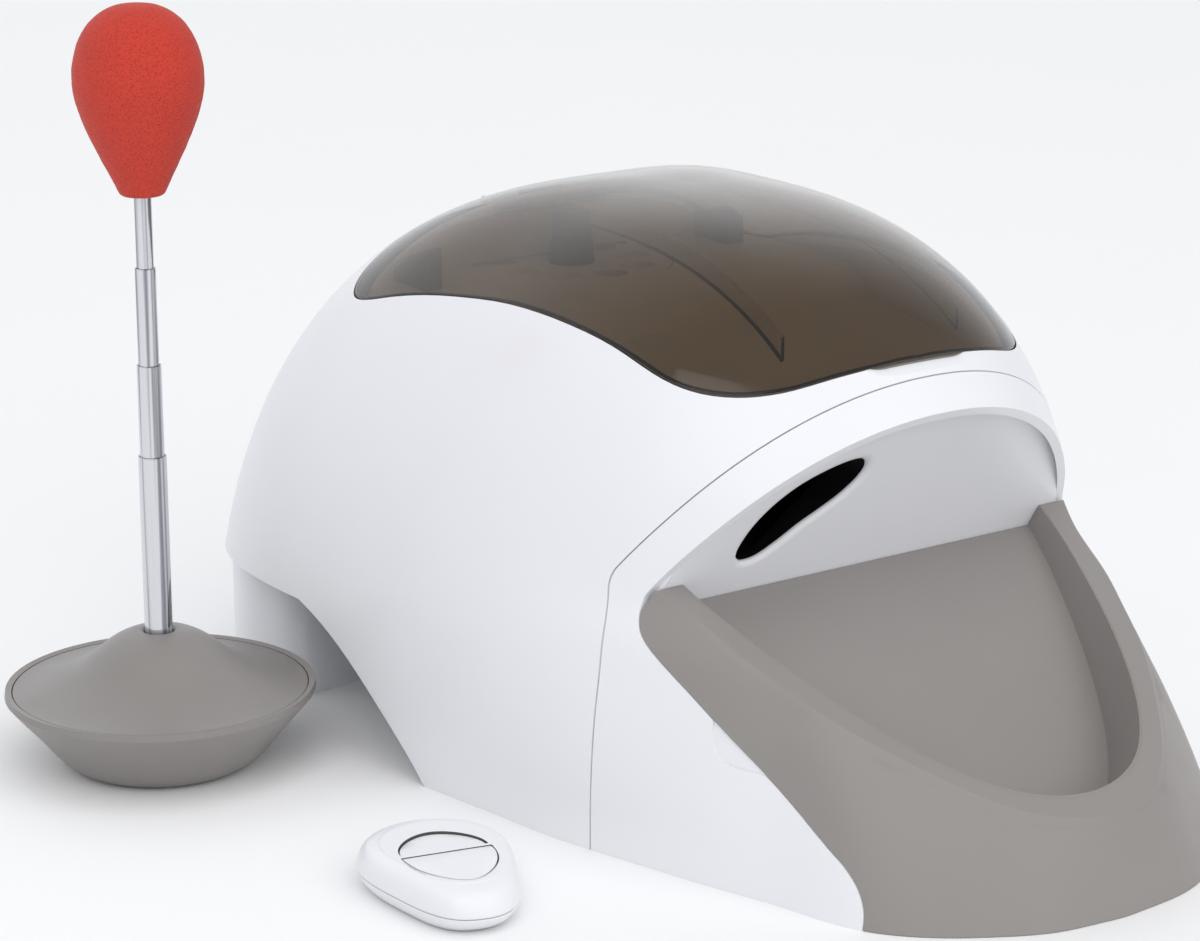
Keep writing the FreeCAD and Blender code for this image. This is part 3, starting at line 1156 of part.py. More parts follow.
def make_foam_tip():
    """Red foam teardrop on the top section."""
    low, wide, top = FOAM_BOTTOM_Z, FOAM_WIDEST_Z, FOAM_TOP_Z
    profile = [(FOAM_BORE, low), (FOAM_FOOT_R - 1.5, low),
               ("curve", [(FOAM_FOOT_R - 1.5, low), (FOAM_FOOT_R + 1.0, low + 3.0), (17.5, low + 17.5), (24.0, low + 33.0),
                          (FOAM_R, wide), (24.2, wide + 15.5), (16.0, wide + 26.5), (7.0, top - 1.2), (0.0, top)]),
               (0.0, TUBE_TOPS[-1] + SEAT_GAP), (FOAM_BORE, TUBE_TOPS[-1] + SEAT_GAP)]
    return revolved(profile, WAND_X, WAND_Y)


# ---- remote ------------------------------------------------------------------------------------------------
def remote_place(shape):
    """Move a piece built about the remote's own centre to where the remote lies."""
    shape.rotate(V(0, 0, 0), Z_AXIS, REMOTE_TURN)
    shape.translate(V(REMOTE_X, REMOTE_Y, 0))
    return shape


def remote_wire(share, z, inset=0.0):
    """Closed outline of the remote at one height."""
    points = []
    for x, y in both_sides(REMOTE_OUTLINE):
        length = math.hypot(x, y)
        points.append(V(x * (share - inset / length), y * (share - inset / length), z))
    return closed_wire(points)


def remote_body(inset):
    """Pebble-shaped outer form of the remote, moved inwards by inset."""
    rows = ((REMOTE_FOOT_SCALE - 0.05, 0.0), (REMOTE_FOOT_SCALE, 0.06), (0.955, 0.225),
            (1.0, REMOTE_SEAM / REMOTE_HEIGHT), (0.985, 0.65), (REMOTE_SHOULDER_SCALE, 0.825), (0.85, 0.945),
            (REMOTE_TOP_SCALE, 1.0))
    low, high = inset, REMOTE_HEIGHT - inset
    wires = [remote_wire(share, low + (high - low) * level, inset) for share, level in rows]
    return Part.makeLoft(wires, True, False)


def key_prism(outline, grow, z0, z1):
    """Upright prism over a key's outline, grown by a gap."""
    moved = []
    cx = sum(x for x, _ in outline) / len(outline)
    cy = sum(y for _, y in outline) / len(outline)
    for x, y in outline:
        length = math.hypot(x - cx, y - cy)
        moved.append(V(x + grow * (x - cx) / length, y + grow * (y - cy) / length, z0))
    curve = spline(moved).toShape()
    wire = Part.Wire([curve, Part.makeLine(moved[-1], moved[0])])
    return Part.Face(wire).extrude(V(0, 0, z1 - z0))


def make_remote_bottom():
    """White lower half of the remote's case."""
    low = box(-FAR, FAR, -FAR, FAR, -1, REMOTE_SEAM - REMOTE_SEAM_GAP / 2)
    shell = remote_body(0).cut(remote_body(REMOTE_WALL)).common(low)
    coin = cylinder(COIN_R + 1.5, V(0, 10, -1), V(0, 10, REMOTE_WALL + 1))
    return remote_place(shell.cut(coin))


def make_remote_top():
    """White upper half of the remote's case, with the two keys' openings."""
    high = box(-FAR, FAR, -FAR, FAR, REMOTE_SEAM + REMOTE_SEAM_GAP / 2, FAR)
    shell = remote_body(0).cut(remote_body(REMOTE_WALL)).common(high)
    tongue_low = box(-FAR, FAR, -FAR, FAR, REMOTE_SEAM - 2.5, REMOTE_SEAM + 3)
    tongue = remote_body(REMOTE_WALL + 0.15).cut(remote_body(REMOTE_WALL + 1.4)).common(tongue_low)
    bridge = remote_body(REMOTE_WALL - 0.5).cut(remote_body(REMOTE_WALL + 1.4)).common(
        box(-FAR, FAR, -FAR, FAR, REMOTE_SEAM + REMOTE_SEAM_GAP / 2, REMOTE_SEAM + 3))
    shell = fused([shell, tongue, bridge])
    for outline in (STAY_KEY, DROP_KEY):
        shell = shell.cut(key_prism(outline, KEY_GAP, REMOTE_SEAM + 3, FAR))
    return remote_place(shell)


def make_key(outline, proud):
    """One rubber-sprung key of the remote, standing proud of the case or let into it."""
    key = key_prism(outline, 0, REMOTE_HEIGHT - KEY_DEPTH, REMOTE_HEIGHT + proud)
    return remote_place(key)


def make_remote_board():
    """Transmitter board with its coin cell holder."""
    wire = remote_wire(0.78, REMOTE_SEAM + 1.0)
    board = Part.Face(wire).extrude(V(0, 0, 1.2))
    posts = [cylinder(2.5, V(x, y, REMOTE_WALL), V(x, y, REMOTE_SEAM + 1.0)) for x, y in ((-16, 19), (16, 19), (0, -29))]
    return remote_place(fused([board] + posts))


def make_coin_cell():
    """Coin cell in its holder behind the screwed cover."""
    return remote_place(cylinder(COIN_R, V(0, 10, REMOTE_WALL + 0.6), V(0, 10, REMOTE_WALL + 0.6 + COIN_THICK)))


def make_coin_cover():
    """Round cover of the coin cell, with a coin slot."""
    cover = cylinder(COIN_R + 1.5 - SEAT_GAP / 2, V(0, 10, 0.3), V(0, 10, REMOTE_WALL))
    return remote_place(cover.cut(box(-6, 6, 9.2, 10.8, -1, 1.0)))


PARTS = {
    "body_shell": make_body_shell,
    "front_fascia": make_front_fascia,
    "face_plate": make_face_plate,
    "seam_strip": make_seam_strip,
    "lid_seat": make_lid_seat,
    "tray_skirt": make_tray_skirt,
    "tray_bowl": make_tray_bowl,
    "lid": make_lid,
    "lid_ribs": make_lid_ribs,
    "hinge_pin": make_hinge_pin,
    "slot_liner": make_slot_liner,
    "treat_chute": make_treat_chute,
    "hopper_tub": make_hopper_tub,
    "hopper_catches": make_brackets,
    "disc_seat": make_disc_seat,
    "treat_disc": make_treat_disc,
    "disc_hub": make_disc_hub,
    "disc_spindle": make_spindle,
    "disc_gear": make_disc_gear,
    "motor_pinion": make_motor_pinion,
    "motor_shaft": make_motor_shaft,
    "gear_motor": make_gear_motor,
    "drive_frame": make_drive_frame,
    "base_pan": make_base_pan,
    "foot_pads": make_foot_pads,
    "battery_bay": make_battery_bay,
    "battery_cells": make_cells,
    "battery_contacts": make_contacts,
    "battery_door": make_battery_door,
    "speaker": make_speaker,
    "main_board": make_main_board,
    "case_screws": make_case_screws,
    "control_panel": make_control_panel,
    "panel_screen": make_screen,
    "panel_board": make_panel_board,
    "power_switch": make_power_switch,
    "wand_bowl": make_wand_bowl,
    "wand_cover": make_wand_cover,
    "wand_weight": make_wand_weight,
    "foam_tip": make_foam_tip,
    "remote_bottom": make_remote_bottom,
    "remote_top": make_remote_top,
    "remote_stay_key": lambda: make_key(STAY_KEY, STAY_KEY_PROUD),
    "remote_drop_key": lambda: make_key(DROP_KEY, DROP_KEY_PROUD),
    "remote_board": make_remote_board,
    "coin_cell": make_coin_cell,
    "coin_cover": make_coin_cover,
}
for number in range(len(BUTTON_SPOTS)):
    PARTS["panel_button_%d" % (number + 1)] = lambda index=number: make_button(index)
for number in range(len(TUBE_OUTER)):
    PARTS["wand_tube_%d" % (number + 1)] = lambda index=number: make_wand_tube(index)


def main():
    """Build every piece and write one STEP file for each."""
    os.makedirs("parts", exist_ok=True)
    for name, make in PARTS.items():
        shape = make()
        shape.exportStep("parts/" + name + ".step")
        print("%-22s solids %d  volume %.0f  valid %s" % (name, len(shape.Solids), shape.Volume, shape.isValid()))


main()
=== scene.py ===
"""Looks of a treat dispenser, its target wand and its two-key remote.

Each sub-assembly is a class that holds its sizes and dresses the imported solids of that
sub-assembly: it copies a solid's mesh, merges it, rounds its edges and gives it its finish,
or builds a new piece beside it.  Lengths in the dataclasses are millimetres, and everything
that reaches Blender is in metres.
"""

import logging
import math
from dataclasses import dataclass
from enum import Enum
from typing import Callable, Sequence

import bmesh
import bpy
from mathutils import Matrix, Vector, noise
from mathutils.bvhtree import BVHTree


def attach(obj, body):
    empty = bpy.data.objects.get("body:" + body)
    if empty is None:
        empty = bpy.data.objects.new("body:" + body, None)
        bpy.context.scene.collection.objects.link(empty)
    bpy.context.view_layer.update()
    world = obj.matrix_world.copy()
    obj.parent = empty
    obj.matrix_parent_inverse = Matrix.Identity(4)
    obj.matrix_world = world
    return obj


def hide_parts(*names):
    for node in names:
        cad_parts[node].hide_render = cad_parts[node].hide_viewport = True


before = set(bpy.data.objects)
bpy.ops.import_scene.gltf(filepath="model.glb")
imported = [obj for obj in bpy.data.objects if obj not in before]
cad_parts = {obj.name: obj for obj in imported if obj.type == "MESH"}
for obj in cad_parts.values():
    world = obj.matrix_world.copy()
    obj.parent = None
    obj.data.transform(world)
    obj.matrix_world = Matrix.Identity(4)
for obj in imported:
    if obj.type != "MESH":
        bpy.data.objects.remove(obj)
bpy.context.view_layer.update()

logging.basicConfig(level=logging.INFO, format="%(name)s: %(message)s")
log = logging.getLogger("dispenser")

Flat = tuple[float, float]
Point = tuple[float, float, float]
MM = 0.001
HEART = Vector((0.0, 110.0, 60.0))    # middle of the dispenser, millimetres
DOWN: Point = (0.0, 0.0, -1.0)
ABOVE = 400.0                         # height over the whole set, where rays start
WELD = 0.004                          # corners of a solid closer than this are one, millimetres
SLIVER = 0.002                        # edges of a solid shorter than this go, millimetres
PLASTIC_IOR = 1.5
BEAD_SIDES = 10


# ---- colours and nodes ---------------------------------------------------------------------
def linear(colour: str) -> tuple[float, float, float, float]:
    """Turn an sRGB hex value into linear RGBA.

    Args:
        colour: six hex digits with a leading #.

    Returns:
        Red, green, blue in linear light, and an alpha of 1.
    """
    shares = [int(colour[i:i + 2], 16) / 255 for i in (1, 3, 5)]
    red, green, blue = (s / 12.92 if s <= 0.04045 else ((s + 0.055) / 1.055) ** 2.4
                        for s in shares)
    return red, green, blue, 1.0


def wire(tree: bpy.types.NodeTree, node: bpy.types.Node, values: dict | None = None,
         links: dict | None = None) -> bpy.types.Node:
    """Set a node's sockets and link other nodes into it.

    Args:
        tree: material or geometry tree that holds the node.
        node: the node.
        values: default values by input name or number.
        links: output sockets by the name or number of the input that they feed.

    Returns:
        The node.
    """
    for name, value in (values or {}).items():
        node.inputs[name].default_value = value
    for name, socket in (links or {}).items():
        tree.links.new(socket, node.inputs[name])
    return node


def add(tree: bpy.types.NodeTree, kind: str, values: dict | None = None,
        links: dict | None = None, **settings: str) -> bpy.types.Node:
    """Add a node with its settings, its socket values and the links into it.

    Args:
        tree: material or geometry tree that gets the node.
        kind: Blender's name of the node type.
        values: default values by input name or number.
        links: output sockets by the name or number of the input that they feed.
        **settings: node properties by name.

    Returns:
        The new node.
    """
    node = tree.nodes.new(kind)
    for name, value in settings.items():
        setattr(node, name, value)
    return wire(tree, node, values, links)


def begun(name: str) -> tuple[bpy.types.Material, bpy.types.NodeTree, bpy.types.NodeSocket]:
    """Start a node material.

    Args:
        name: name of the material.

    Returns:
        The material, its tree and the Object coordinates that its patterns read.
    """
    material = bpy.data.materials.new(name)
    material.use_nodes = True
    tree = material.node_tree
    return material, tree, add(tree, "ShaderNodeTexCoord").outputs["Object"]


# ---- finishes ------------------------------------------------------------------------------
@dataclass(frozen=True)
class Moulded:
    """Injection-moulded plastic: a faint tone drift, uneven gloss and the tool's fine texture.

    Attributes:
        name: name of the material.
        colour: main sRGB colour.
        second: sRGB colour that it drifts to.
        gloss: roughness where it is smoothest.
        dull: roughness where handling has dulled it.
        grain: width of one grain of the tool's texture, millimetres; real ones are too fine
            to show, so it is drawn coarser.
        depth: how far the texture stands out, millimetres.
        patch: width of a patch of tone, millimetres.
        coat: weight of the clear skin that a polished tool leaves.
        sheen: weight of a velvety edge, as on rubber.
        scatter: share of light that goes through the surface and out again.
    """

    name: str
    colour: str
    second: str
    gloss: float
    dull: float
    grain: float
    depth: float
    patch: float
    coat: float = 0.0
    sheen: float = 0.0
    scatter: float = 0.0

    def make(self) -> bpy.types.Material:
        """Build the node material."""
        material, tree, place = begun(self.name)
        drift = add(tree, "ShaderNodeTexNoise",
                    {"Scale": 1 / (self.patch * MM), "Detail": 3.0, "Roughness": 0.6},
                    {"Vector": place})
        tone = add(tree, "ShaderNodeMix", {6: linear(self.colour), 7: linear(self.second)},
                   {0: drift.outputs["Fac"]}, data_type="RGBA")
        # spots that handling has dulled are about a third as wide as the patches of tone
        wear = add(tree, "ShaderNodeTexNoise",
                   {"Scale": 1 / (self.patch * 0.35 * MM), "Detail": 5.0, "Roughness": 0.65},
                   {"Vector": place})
        rough = add(tree, "ShaderNodeMapRange", {1: 0.3, 2: 0.7, 3: self.gloss, 4: self.dull},
                    {0: wear.outputs["Fac"]})
        grain = add(tree, "ShaderNodeTexNoise",
                    {"Scale": 1 / (self.grain * MM), "Detail": 2.0, "Roughness": 0.5},
                    {"Vector": place})
        bump = add(tree, "ShaderNodeBump", {"Strength": 0.5, "Distance": self.depth * MM},
                   {"Height": grain.outputs["Fac"]})
        wire(tree, tree.nodes["Principled BSDF"],
             {"IOR": PLASTIC_IOR, "Coat Weight": self.coat, "Coat Roughness": 0.12,
              "Sheen Weight": self.sheen, "Subsurface Weight": self.scatter,
              "Subsurface Scale": 2 * MM},
             {"Base Color": tone.outputs[2], "Roughness": rough.outputs[0],
              "Normal": bump.outputs[0]})
        return material


@dataclass(frozen=True)
class Smoked:
    """Polished see-through polycarbonate, tinted brown: each face takes part of the light.

    Attributes:
        name: name of the material.
        tint: sRGB colour that one face lets through.
        haze: sRGB colour of the dust and fine scratches on it.
        haze_share: how much of the face they cover.
        roughness: roughness of the mirror.
        mirror: share that it mirrors where it is looked at squarely.
        dust: width of a cloud of dust, millimetres.
        edge_mirror: what the mirror gains where it is looked at along the face.
    """

    name: str
    tint: str
    haze: str
    haze_share: float
    roughness: float = 0.05
    mirror: float = 0.045
    dust: float = 35.0
    edge_mirror: float = 0.85

    def make(self) -> bpy.types.Material:
        """Build the material: tinted see-through, a thin haze, a mirror that grows at the edge."""
        material, tree, place = begun(self.name)
        tree.nodes.remove(tree.nodes["Principled BSDF"])
        dust = add(tree, "ShaderNodeTexNoise", {"Scale": 1 / (self.dust * MM), "Detail": 4.0},
                   {"Vector": place})
        rough = add(tree, "ShaderNodeMapRange",
                    {1: 0.35, 2: 0.75, 3: self.roughness, 4: self.roughness * 2.2},
                    {0: dust.outputs["Fac"]})
        through = add(tree, "ShaderNodeBsdfTransparent", {"Color": linear(self.tint)})
        haze = add(tree, "ShaderNodeBsdfDiffuse", {"Color": linear(self.haze)})
        body = add(tree, "ShaderNodeMixShader", {0: self.haze_share},
                   {1: through.outputs[0], 2: haze.outputs[0]})
        mirror = add(tree, "ShaderNodeBsdfGlossy", {"Color": (1, 1, 1, 1)},
                     {"Roughness": rough.outputs[0]})
        facing = add(tree, "ShaderNodeLayerWeight", {"Blend": 0.5})
        steep = add(tree, "ShaderNodeMath", {1: 4.0}, {0: facing.outputs["Facing"]},
                    operation="POWER")
        share = add(tree, "ShaderNodeMath", {1: self.edge_mirror, 2: self.mirror},
                    {0: steep.outputs[0]}, operation="MULTIPLY_ADD")
        whole = add(tree, "ShaderNodeMixShader", None,
                    {0: share.outputs[0], 1: body.outputs[0], 2: mirror.outputs[0]})
        wire(tree, tree.nodes["Material Output"], None, {"Surface": whole.outputs[0]})
        return material


@dataclass(frozen=True)
class Metal:
    """Metal with fine drawn lines along one axis, as on a chromed or turned part.

    Attributes:
        name: name of the material.
        colour: main sRGB colour.
        roughness: roughness where it is smoothest.
        line: width of one drawn line, millimetres, coarser than real so that it shows.
        depth: how deep the lines are, millimetres.
        along: how close the pattern lies along each axis.
        painted_reflection: sRGB colour of broad dark bands of painted reflection along the part,
            or nothing for none.
        metallic: share of metal; a little less than 1 where a haze lies on the chrome.
    """

    name: str
    colour: str
    roughness: float
    line: float
    depth: float
    along: Point
    painted_reflection: str = ""
    metallic: float = 1.0

    def make(self) -> bpy.types.Material:
        """Build the node material."""
        material, tree, place = begun(self.name)
        colour = linear(self.colour)
        stretched = add(tree, "ShaderNodeMapping", {"Scale": self.along}, {"Vector": place})
        lines = add(tree, "ShaderNodeTexNoise", {"Scale": 1 / (self.line * MM), "Detail": 3.0},
                    {"Vector": stretched.outputs[0]})
        rough = add(tree, "ShaderNodeMapRange",
                    {1: 0.3, 2: 0.7, 3: self.roughness, 4: self.roughness * 1.8},
                    {0: lines.outputs["Fac"]})
        bump = add(tree, "ShaderNodeBump", {"Strength": 0.4, "Distance": self.depth * MM},
                   {"Height": lines.outputs["Fac"]})
        links = {"Roughness": rough.outputs[0], "Normal": bump.outputs[0]}
        if self.painted_reflection:
            # the bands of painted reflection are as wide as seven lines
            wide = add(tree, "ShaderNodeTexNoise",
                       {"Scale": 1 / (self.line * 7 * MM), "Detail": 2.0},
                       {"Vector": stretched.outputs[0]})
            share = add(tree, "ShaderNodeMapRange", {1: 0.47, 2: 0.62, 3: 0.0, 4: 1.0},
                        {0: wide.outputs["Fac"]})
            tone = add(tree, "ShaderNodeMix", {6: colour, 7: linear(self.painted_reflection)},
                       {0: share.outputs[0]}, data_type="RGBA")
            links["Base Color"] = tone.outputs[2]
        wire(tree, tree.nodes["Principled BSDF"],
             {"Base Color": colour, "Metallic": self.metallic}, links)
        return material


@dataclass(frozen=True)
class Foam:
    """Cut and skinned foam rubber: matt, pores darkened by painted shade, a slightly velvety edge.

    Attributes:
        name: name of the material.
        colour: sRGB colour of the skin.
        painted_pore_shade: sRGB colour of the painted shade down in a pore.
        pore: distance between pores, millimetres, a little coarser than real ones.
        depth: how deep they are, millimetres.
        cloud: width of an area of denser pores, millimetres.
    """

    name: str
    colour: str
    painted_pore_shade: str
    pore: float = 0.9
    depth: float = 0.25
    cloud: float = 9.0

    def make(self) -> bpy.types.Material:
        """Build the node material."""
        material, tree, place = begun(self.name)
        pores = add(tree, "ShaderNodeTexVoronoi", {"Scale": 1 / (self.pore * MM)},
                    {"Vector": place}, feature="F1")
        skin = add(tree, "ShaderNodeMapRange", {1: 0.12, 2: 0.5, 3: 0.0, 4: 1.0},
                   {0: pores.outputs["Distance"]})
        cloud = add(tree, "ShaderNodeTexNoise", {"Scale": 1 / (self.cloud * MM), "Detail": 4.0},
                    {"Vector": place})
        even = add(tree, "ShaderNodeMapRange", {1: 0.2, 2: 0.8, 3: 0.8, 4: 1.0},
                   {0: cloud.outputs["Fac"]})
        shade = add(tree, "ShaderNodeMath", None, {0: skin.outputs[0], 1: even.outputs[0]},
                    operation="MULTIPLY")
        lift = add(tree, "ShaderNodeMapRange", {1: 0.0, 2: 0.9, 3: 0.0, 4: 1.0},
                   {0: shade.outputs[0]})
        # the pores take the darker red: painted shade down in the hollows of the foam
        tone = add(tree, "ShaderNodeMix", {6: linear(self.painted_pore_shade), 7: linear(self.colour)},
                   {0: lift.outputs[0]}, data_type="RGBA")
        bump = add(tree, "ShaderNodeBump", {"Strength": 0.6, "Distance": self.depth * MM},
                   {"Height": skin.outputs[0]})
        wire(tree, tree.nodes["Principled BSDF"],
             {"Roughness": 0.85, "Sheen Weight": 0.06, "Sheen Roughness": 0.5},
             {"Base Color": tone.outputs[2], "Normal": bump.outputs[0]})
        return material


class Slot(Enum):
    """The finish slots of the record."""

    SHELL = "white_shell"
    TRAY = "tray_grey"
    LID = "smoked_lid"
    DECK = "beige_deck"
    GREY = "grey_plastic"
    BLACK = "black_plastic"
    NYLON = "gear_nylon"
    STEEL = "steel"
    RUBBER = "pad_rubber"
    CELL = "cell_jacket"
    BOARD = "board_green"
    SCREEN = "screen_grey"
    WAND = "wand_grey"
    CHROME = "chrome_tube"
    FOAM = "red_foam"


FINISHES: dict[Slot, Moulded | Smoked | Metal | Foam] = {
    # ABS from a finely textured tool: the shell has an even, slightly soft gloss
    Slot.SHELL: Moulded("white_abs_moulded", "#e9eaed", "#e5e6ea", 0.30, 0.36, 1.2, 0.004, 90.0,
                        coat=0.12),
    # satin ABS: the tool's texture spreads the light, so the greys stay matt
    Slot.TRAY: Moulded("warm_grey_abs_satin", "#918c89", "#8c8784", 0.36, 0.44, 1.0, 0.03, 70.0),
    Slot.WAND: Moulded("grey_abs_wand", "#8a8683", "#84807d", 0.36, 0.44, 1.0, 0.03, 60.0),
    Slot.DECK: Moulded("beige_abs_satin", "#e3d5bb", "#d9cab0", 0.42, 0.52, 1.0, 0.02, 50.0),
    Slot.GREY: Moulded("grey_abs_satin", "#565554", "#51504f", 0.38, 0.48, 0.9, 0.02, 30.0),
    Slot.BLACK: Moulded("black_abs_matt", "#0c0c0d", "#101011", 0.5, 0.62, 0.9, 0.02, 30.0),
    # polished polycarbonate: clear, with a sharp mirror towards its outline
    Slot.LID: Smoked("smoked_polycarbonate_polished", "#c5beb5", "#5c534b", 0.02),
    # cut nylon: milky, because light goes a little way in
    Slot.NYLON: Moulded("natural_nylon", "#e4e0cf", "#dcd7c3", 0.4, 0.5, 0.8, 0.02, 20.0,
                        scatter=0.1),
    # plain turned steel: an even grey gloss without any one direction
    Slot.STEEL: Metal("plain_steel_turned", "#b9bbbd", 0.28, 0.5, 0.004, (1.0, 1.0, 1.0)),
    # moulded rubber: nearly no gloss and a soft pale edge
    Slot.RUBBER: Moulded("black_rubber", "#1c1c1d", "#242425", 0.7, 0.85, 0.8, 0.04, 12.0,
                         sheen=0.1),
    # shrunk printed film: dark, with a shiny skin
    Slot.CELL: Moulded("cell_jacket_film", "#1b1c20", "#26272c", 0.22, 0.3, 2.0, 0.01, 25.0,
                       coat=0.3),
    # lacquered circuit board: deep green that shines softly
    Slot.BOARD: Moulded("board_lacquer", "#1e5a35", "#1a5230", 0.28, 0.36, 1.2, 0.02, 9.0,
                        coat=0.2),
    # polished display window: grey and nearly a mirror
    Slot.SCREEN: Moulded("display_glass", "#7f8a7c", "#778274", 0.08, 0.12, 6.0, 0.002, 25.0,
                         coat=0.5),
    # drawn tube with bright chrome: long fine lines, and dark bands along it that are painted
    # reflection
    Slot.CHROME: Metal("bright_chrome_drawn", "#d8d9dd", 0.06, 0.35, 0.002, (1.0, 1.0, 0.008),
                       "#8e9095", metallic=0.78),
    # skinned foam rubber: matt red, with painted shade darkening its pores
    Slot.FOAM: Foam("red_foam_skinned", "#c53b2c", "#a62c20"),
}
# the same plastic looked at along its wall, as on a cut edge: the whole depth takes the light
EDGE_ON = Smoked("smoked_polycarbonate_edge", "#6b6259", "#3a342e", 0.2, 0.09, 0.04)
RIB_SIDE = Smoked("smoked_polycarbonate_rib", "#f8f6f4", "#665d54", 0.0, 0.06, 0.0)
RIB_EDGE = Smoked("smoked_polycarbonate_rib_edge", "#4a433c", "#2f2a25", 0.35, 0.09, 0.03)


class Paintbox:
    """Makes each finish once and hands it out."""

    def __init__(self) -> None:
        """Start with nothing mixed."""
        self.made: dict[Slot, bpy.types.Material] = {}

    def get(self, slot: Slot) -> bpy.types.Material:
        """The material of a slot, made when it is first asked for.

        Args:
            slot: the slot.

        Returns:
            Its material.
        """
        if slot not in self.made:
            self.made[slot] = FINISHES[slot].make()
        return self.made[slot]

    def extra(self, finish: Smoked) -> bpy.types.Material:
        """The material of a finish that no slot has of its own."""
        return bpy.data.materials.get(finish.name) or finish.make()


PAINTS = Paintbox()


# ---- meshes --------------------------------------------------------------------------------
@dataclass(frozen=True)
class Edging:
    """One rounding: the edges that pass a test, and the radius that they get.

    Attributes:
        width: radius in millimetres.
        test: takes the middle of an edge in millimetres, and how much its two faces look away
            from the middle of the object, or None for every edge.
    """

    width: float
    test: Callable[[Vector, float], bool] | None = None

    def holds(self, middle: Vector, outward: float) -> bool:
        """True if an edge gets this rounding."""
        return self.test is None or self.test(middle, outward)


def smooth_line(points: Sequence[Flat], count: int, fineness: int = 12) -> list[Flat]:
    """Even steps along a smooth curve through points.

    Args:
        points: corners of the line.
        count: number of points wanted.
        fineness: steps from one corner to the next, before they are evened out.

    Returns:
        Points on a Catmull-Rom curve.
    """
    line = [points[0], *points, points[-1]]
    fine = []
    for corners in zip(line, line[1:], line[2:], line[3:]):
        for k in range(fineness):
            t = k / fineness
            fine.append(tuple(0.5 * (2 * b + (c - a) * t + (2 * a - 5 * b + 4 * c - d) * t * t
                                     + (3 * b - a - 3 * c + d) * t ** 3)
                              for a, b, c, d in zip(*corners)))
    fine.append(tuple(points[-1]))
    along = [0.0]
    for a, b in zip(fine, fine[1:]):
        along.append(along[-1] + math.dist(a, b))
    steps, i = [], 0
    for k in range(count):
        want = along[-1] * k / (count - 1)
        while i < len(along) - 2 and along[i + 1] < want:
            i += 1
        share = (want - along[i]) / max(along[i + 1] - along[i], 1e-9)
        steps.append(tuple(a + (b - a) * share for a, b in zip(fine[i], fine[i + 1])))
    return steps


def link(mesh: bpy.types.Mesh, name: str) -> bpy.types.Object:
    """Put a mesh into the scene as a new object.

    Args:
        mesh: the mesh.
        name: name of the object.

    Returns:
        The object.
    """
    piece = bpy.data.objects.new(name, mesh)
    bpy.context.scene.collection.objects.link(piece)
    return piece


def placed(piece: bpy.types.Object, body: str) -> bpy.types.Object:
    """Let a piece ride on a body and report it.

    Args:
        piece: the piece.
        body: body that it rides on.

    Returns:
        The same piece.
    """
    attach(piece, body)
    log.info("%s: %d faces", piece.name, len(piece.data.polygons))
    return piece


def finished(piece: bpy.types.Object) -> bpy.types.Object:
    """Turn a piece with live modifiers into a plain mesh without any.

    Args:
        piece: the piece.

    Returns:
        The same piece.
    """
    graph = bpy.context.evaluated_depsgraph_get()
    graph.update()
    mesh = bpy.data.meshes.new_from_object(piece.evaluated_get(graph),
                                           preserve_all_data_layers=True, depsgraph=graph)
    piece.modifiers.clear()
    old = piece.data
    piece.data = mesh
    bpy.data.meshes.remove(old)
    return piece


def merged(node: str, name: str, slot: Slot) -> bpy.types.Object:
    """Copy a solid's mesh and merge its loose triangles.

    Args:
        node: name of the solid.
        name: name of the new piece.
        slot: its finish.

    Returns:
        The new piece, without the solid's own normals.
    """
    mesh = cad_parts[node].data.copy()
    mesh.name = name
    form = bmesh.new()
    form.from_mesh(mesh)
    bmesh.ops.remove_doubles(form, verts=form.verts, dist=WELD * MM)
    bmesh.ops.dissolve_degenerate(form, dist=SLIVER * MM, edges=form.edges)
    for layer in list(form.loops.layers.float_vector):
        form.loops.layers.float_vector.remove(layer)
    form.to_mesh(mesh)
    form.free()
    if "custom_normal" in mesh.attributes:
        mesh.attributes.remove(mesh.attributes["custom_normal"])
    mesh.materials.clear()
    mesh.materials.append(PAINTS.get(slot))
    return link(mesh, name)


def smooth(piece: bpy.types.Object, angle: float = 30.0) -> None:
    """Shade a mesh smooth, with edges over an angle in degrees kept sharp."""
    piece.data.shade_smooth()
    piece.data.set_sharp_from_angle(angle=math.radians(angle))


def rounded(piece: bpy.types.Object, edgings: Sequence[Edging], steps: int,
            angle: float = 32.0) -> None:
    """Round the edges of a piece, each by the first edging that holds it; 0 leaves it sharp.

    Args:
        piece: object whose mesh is changed.
        edgings: radii and where they go.
        steps: number of faces across a rounding.
        angle: edges flatter than this, in degrees, stay as they are.
    """
    widest = max(e.width for e in edgings)
    form = bmesh.new()
    form.from_mesh(piece.data)
    weights = form.edges.layers.float.new("bevel_weight_edge")
    for edge in form.edges:
        if len(edge.link_faces) == 2 and edge.calc_face_angle(0.0) > math.radians(angle):
            middle = (edge.verts[0].co + edge.verts[1].co) / (2 * MM)
            away = (middle - HEART).normalized()
            outward = sum(face.normal.dot(away) for face in edge.link_faces)
            for edging in edgings:
                if edging.holds(middle, outward):
                    edge[weights] = edging.width / widest
                    break
    form.to_mesh(piece.data)
    form.free()
    bevel = piece.modifiers.new("rounding", "BEVEL")
    bevel.limit_method = "WEIGHT"
    bevel.width = widest * MM
    bevel.segments = steps
    bevel.use_clamp_overlap = True
    bevel.harden_normals = True
    bevel.miter_outer = "MITER_ARC"
    smooth(piece, 40.0)
    finished(piece)


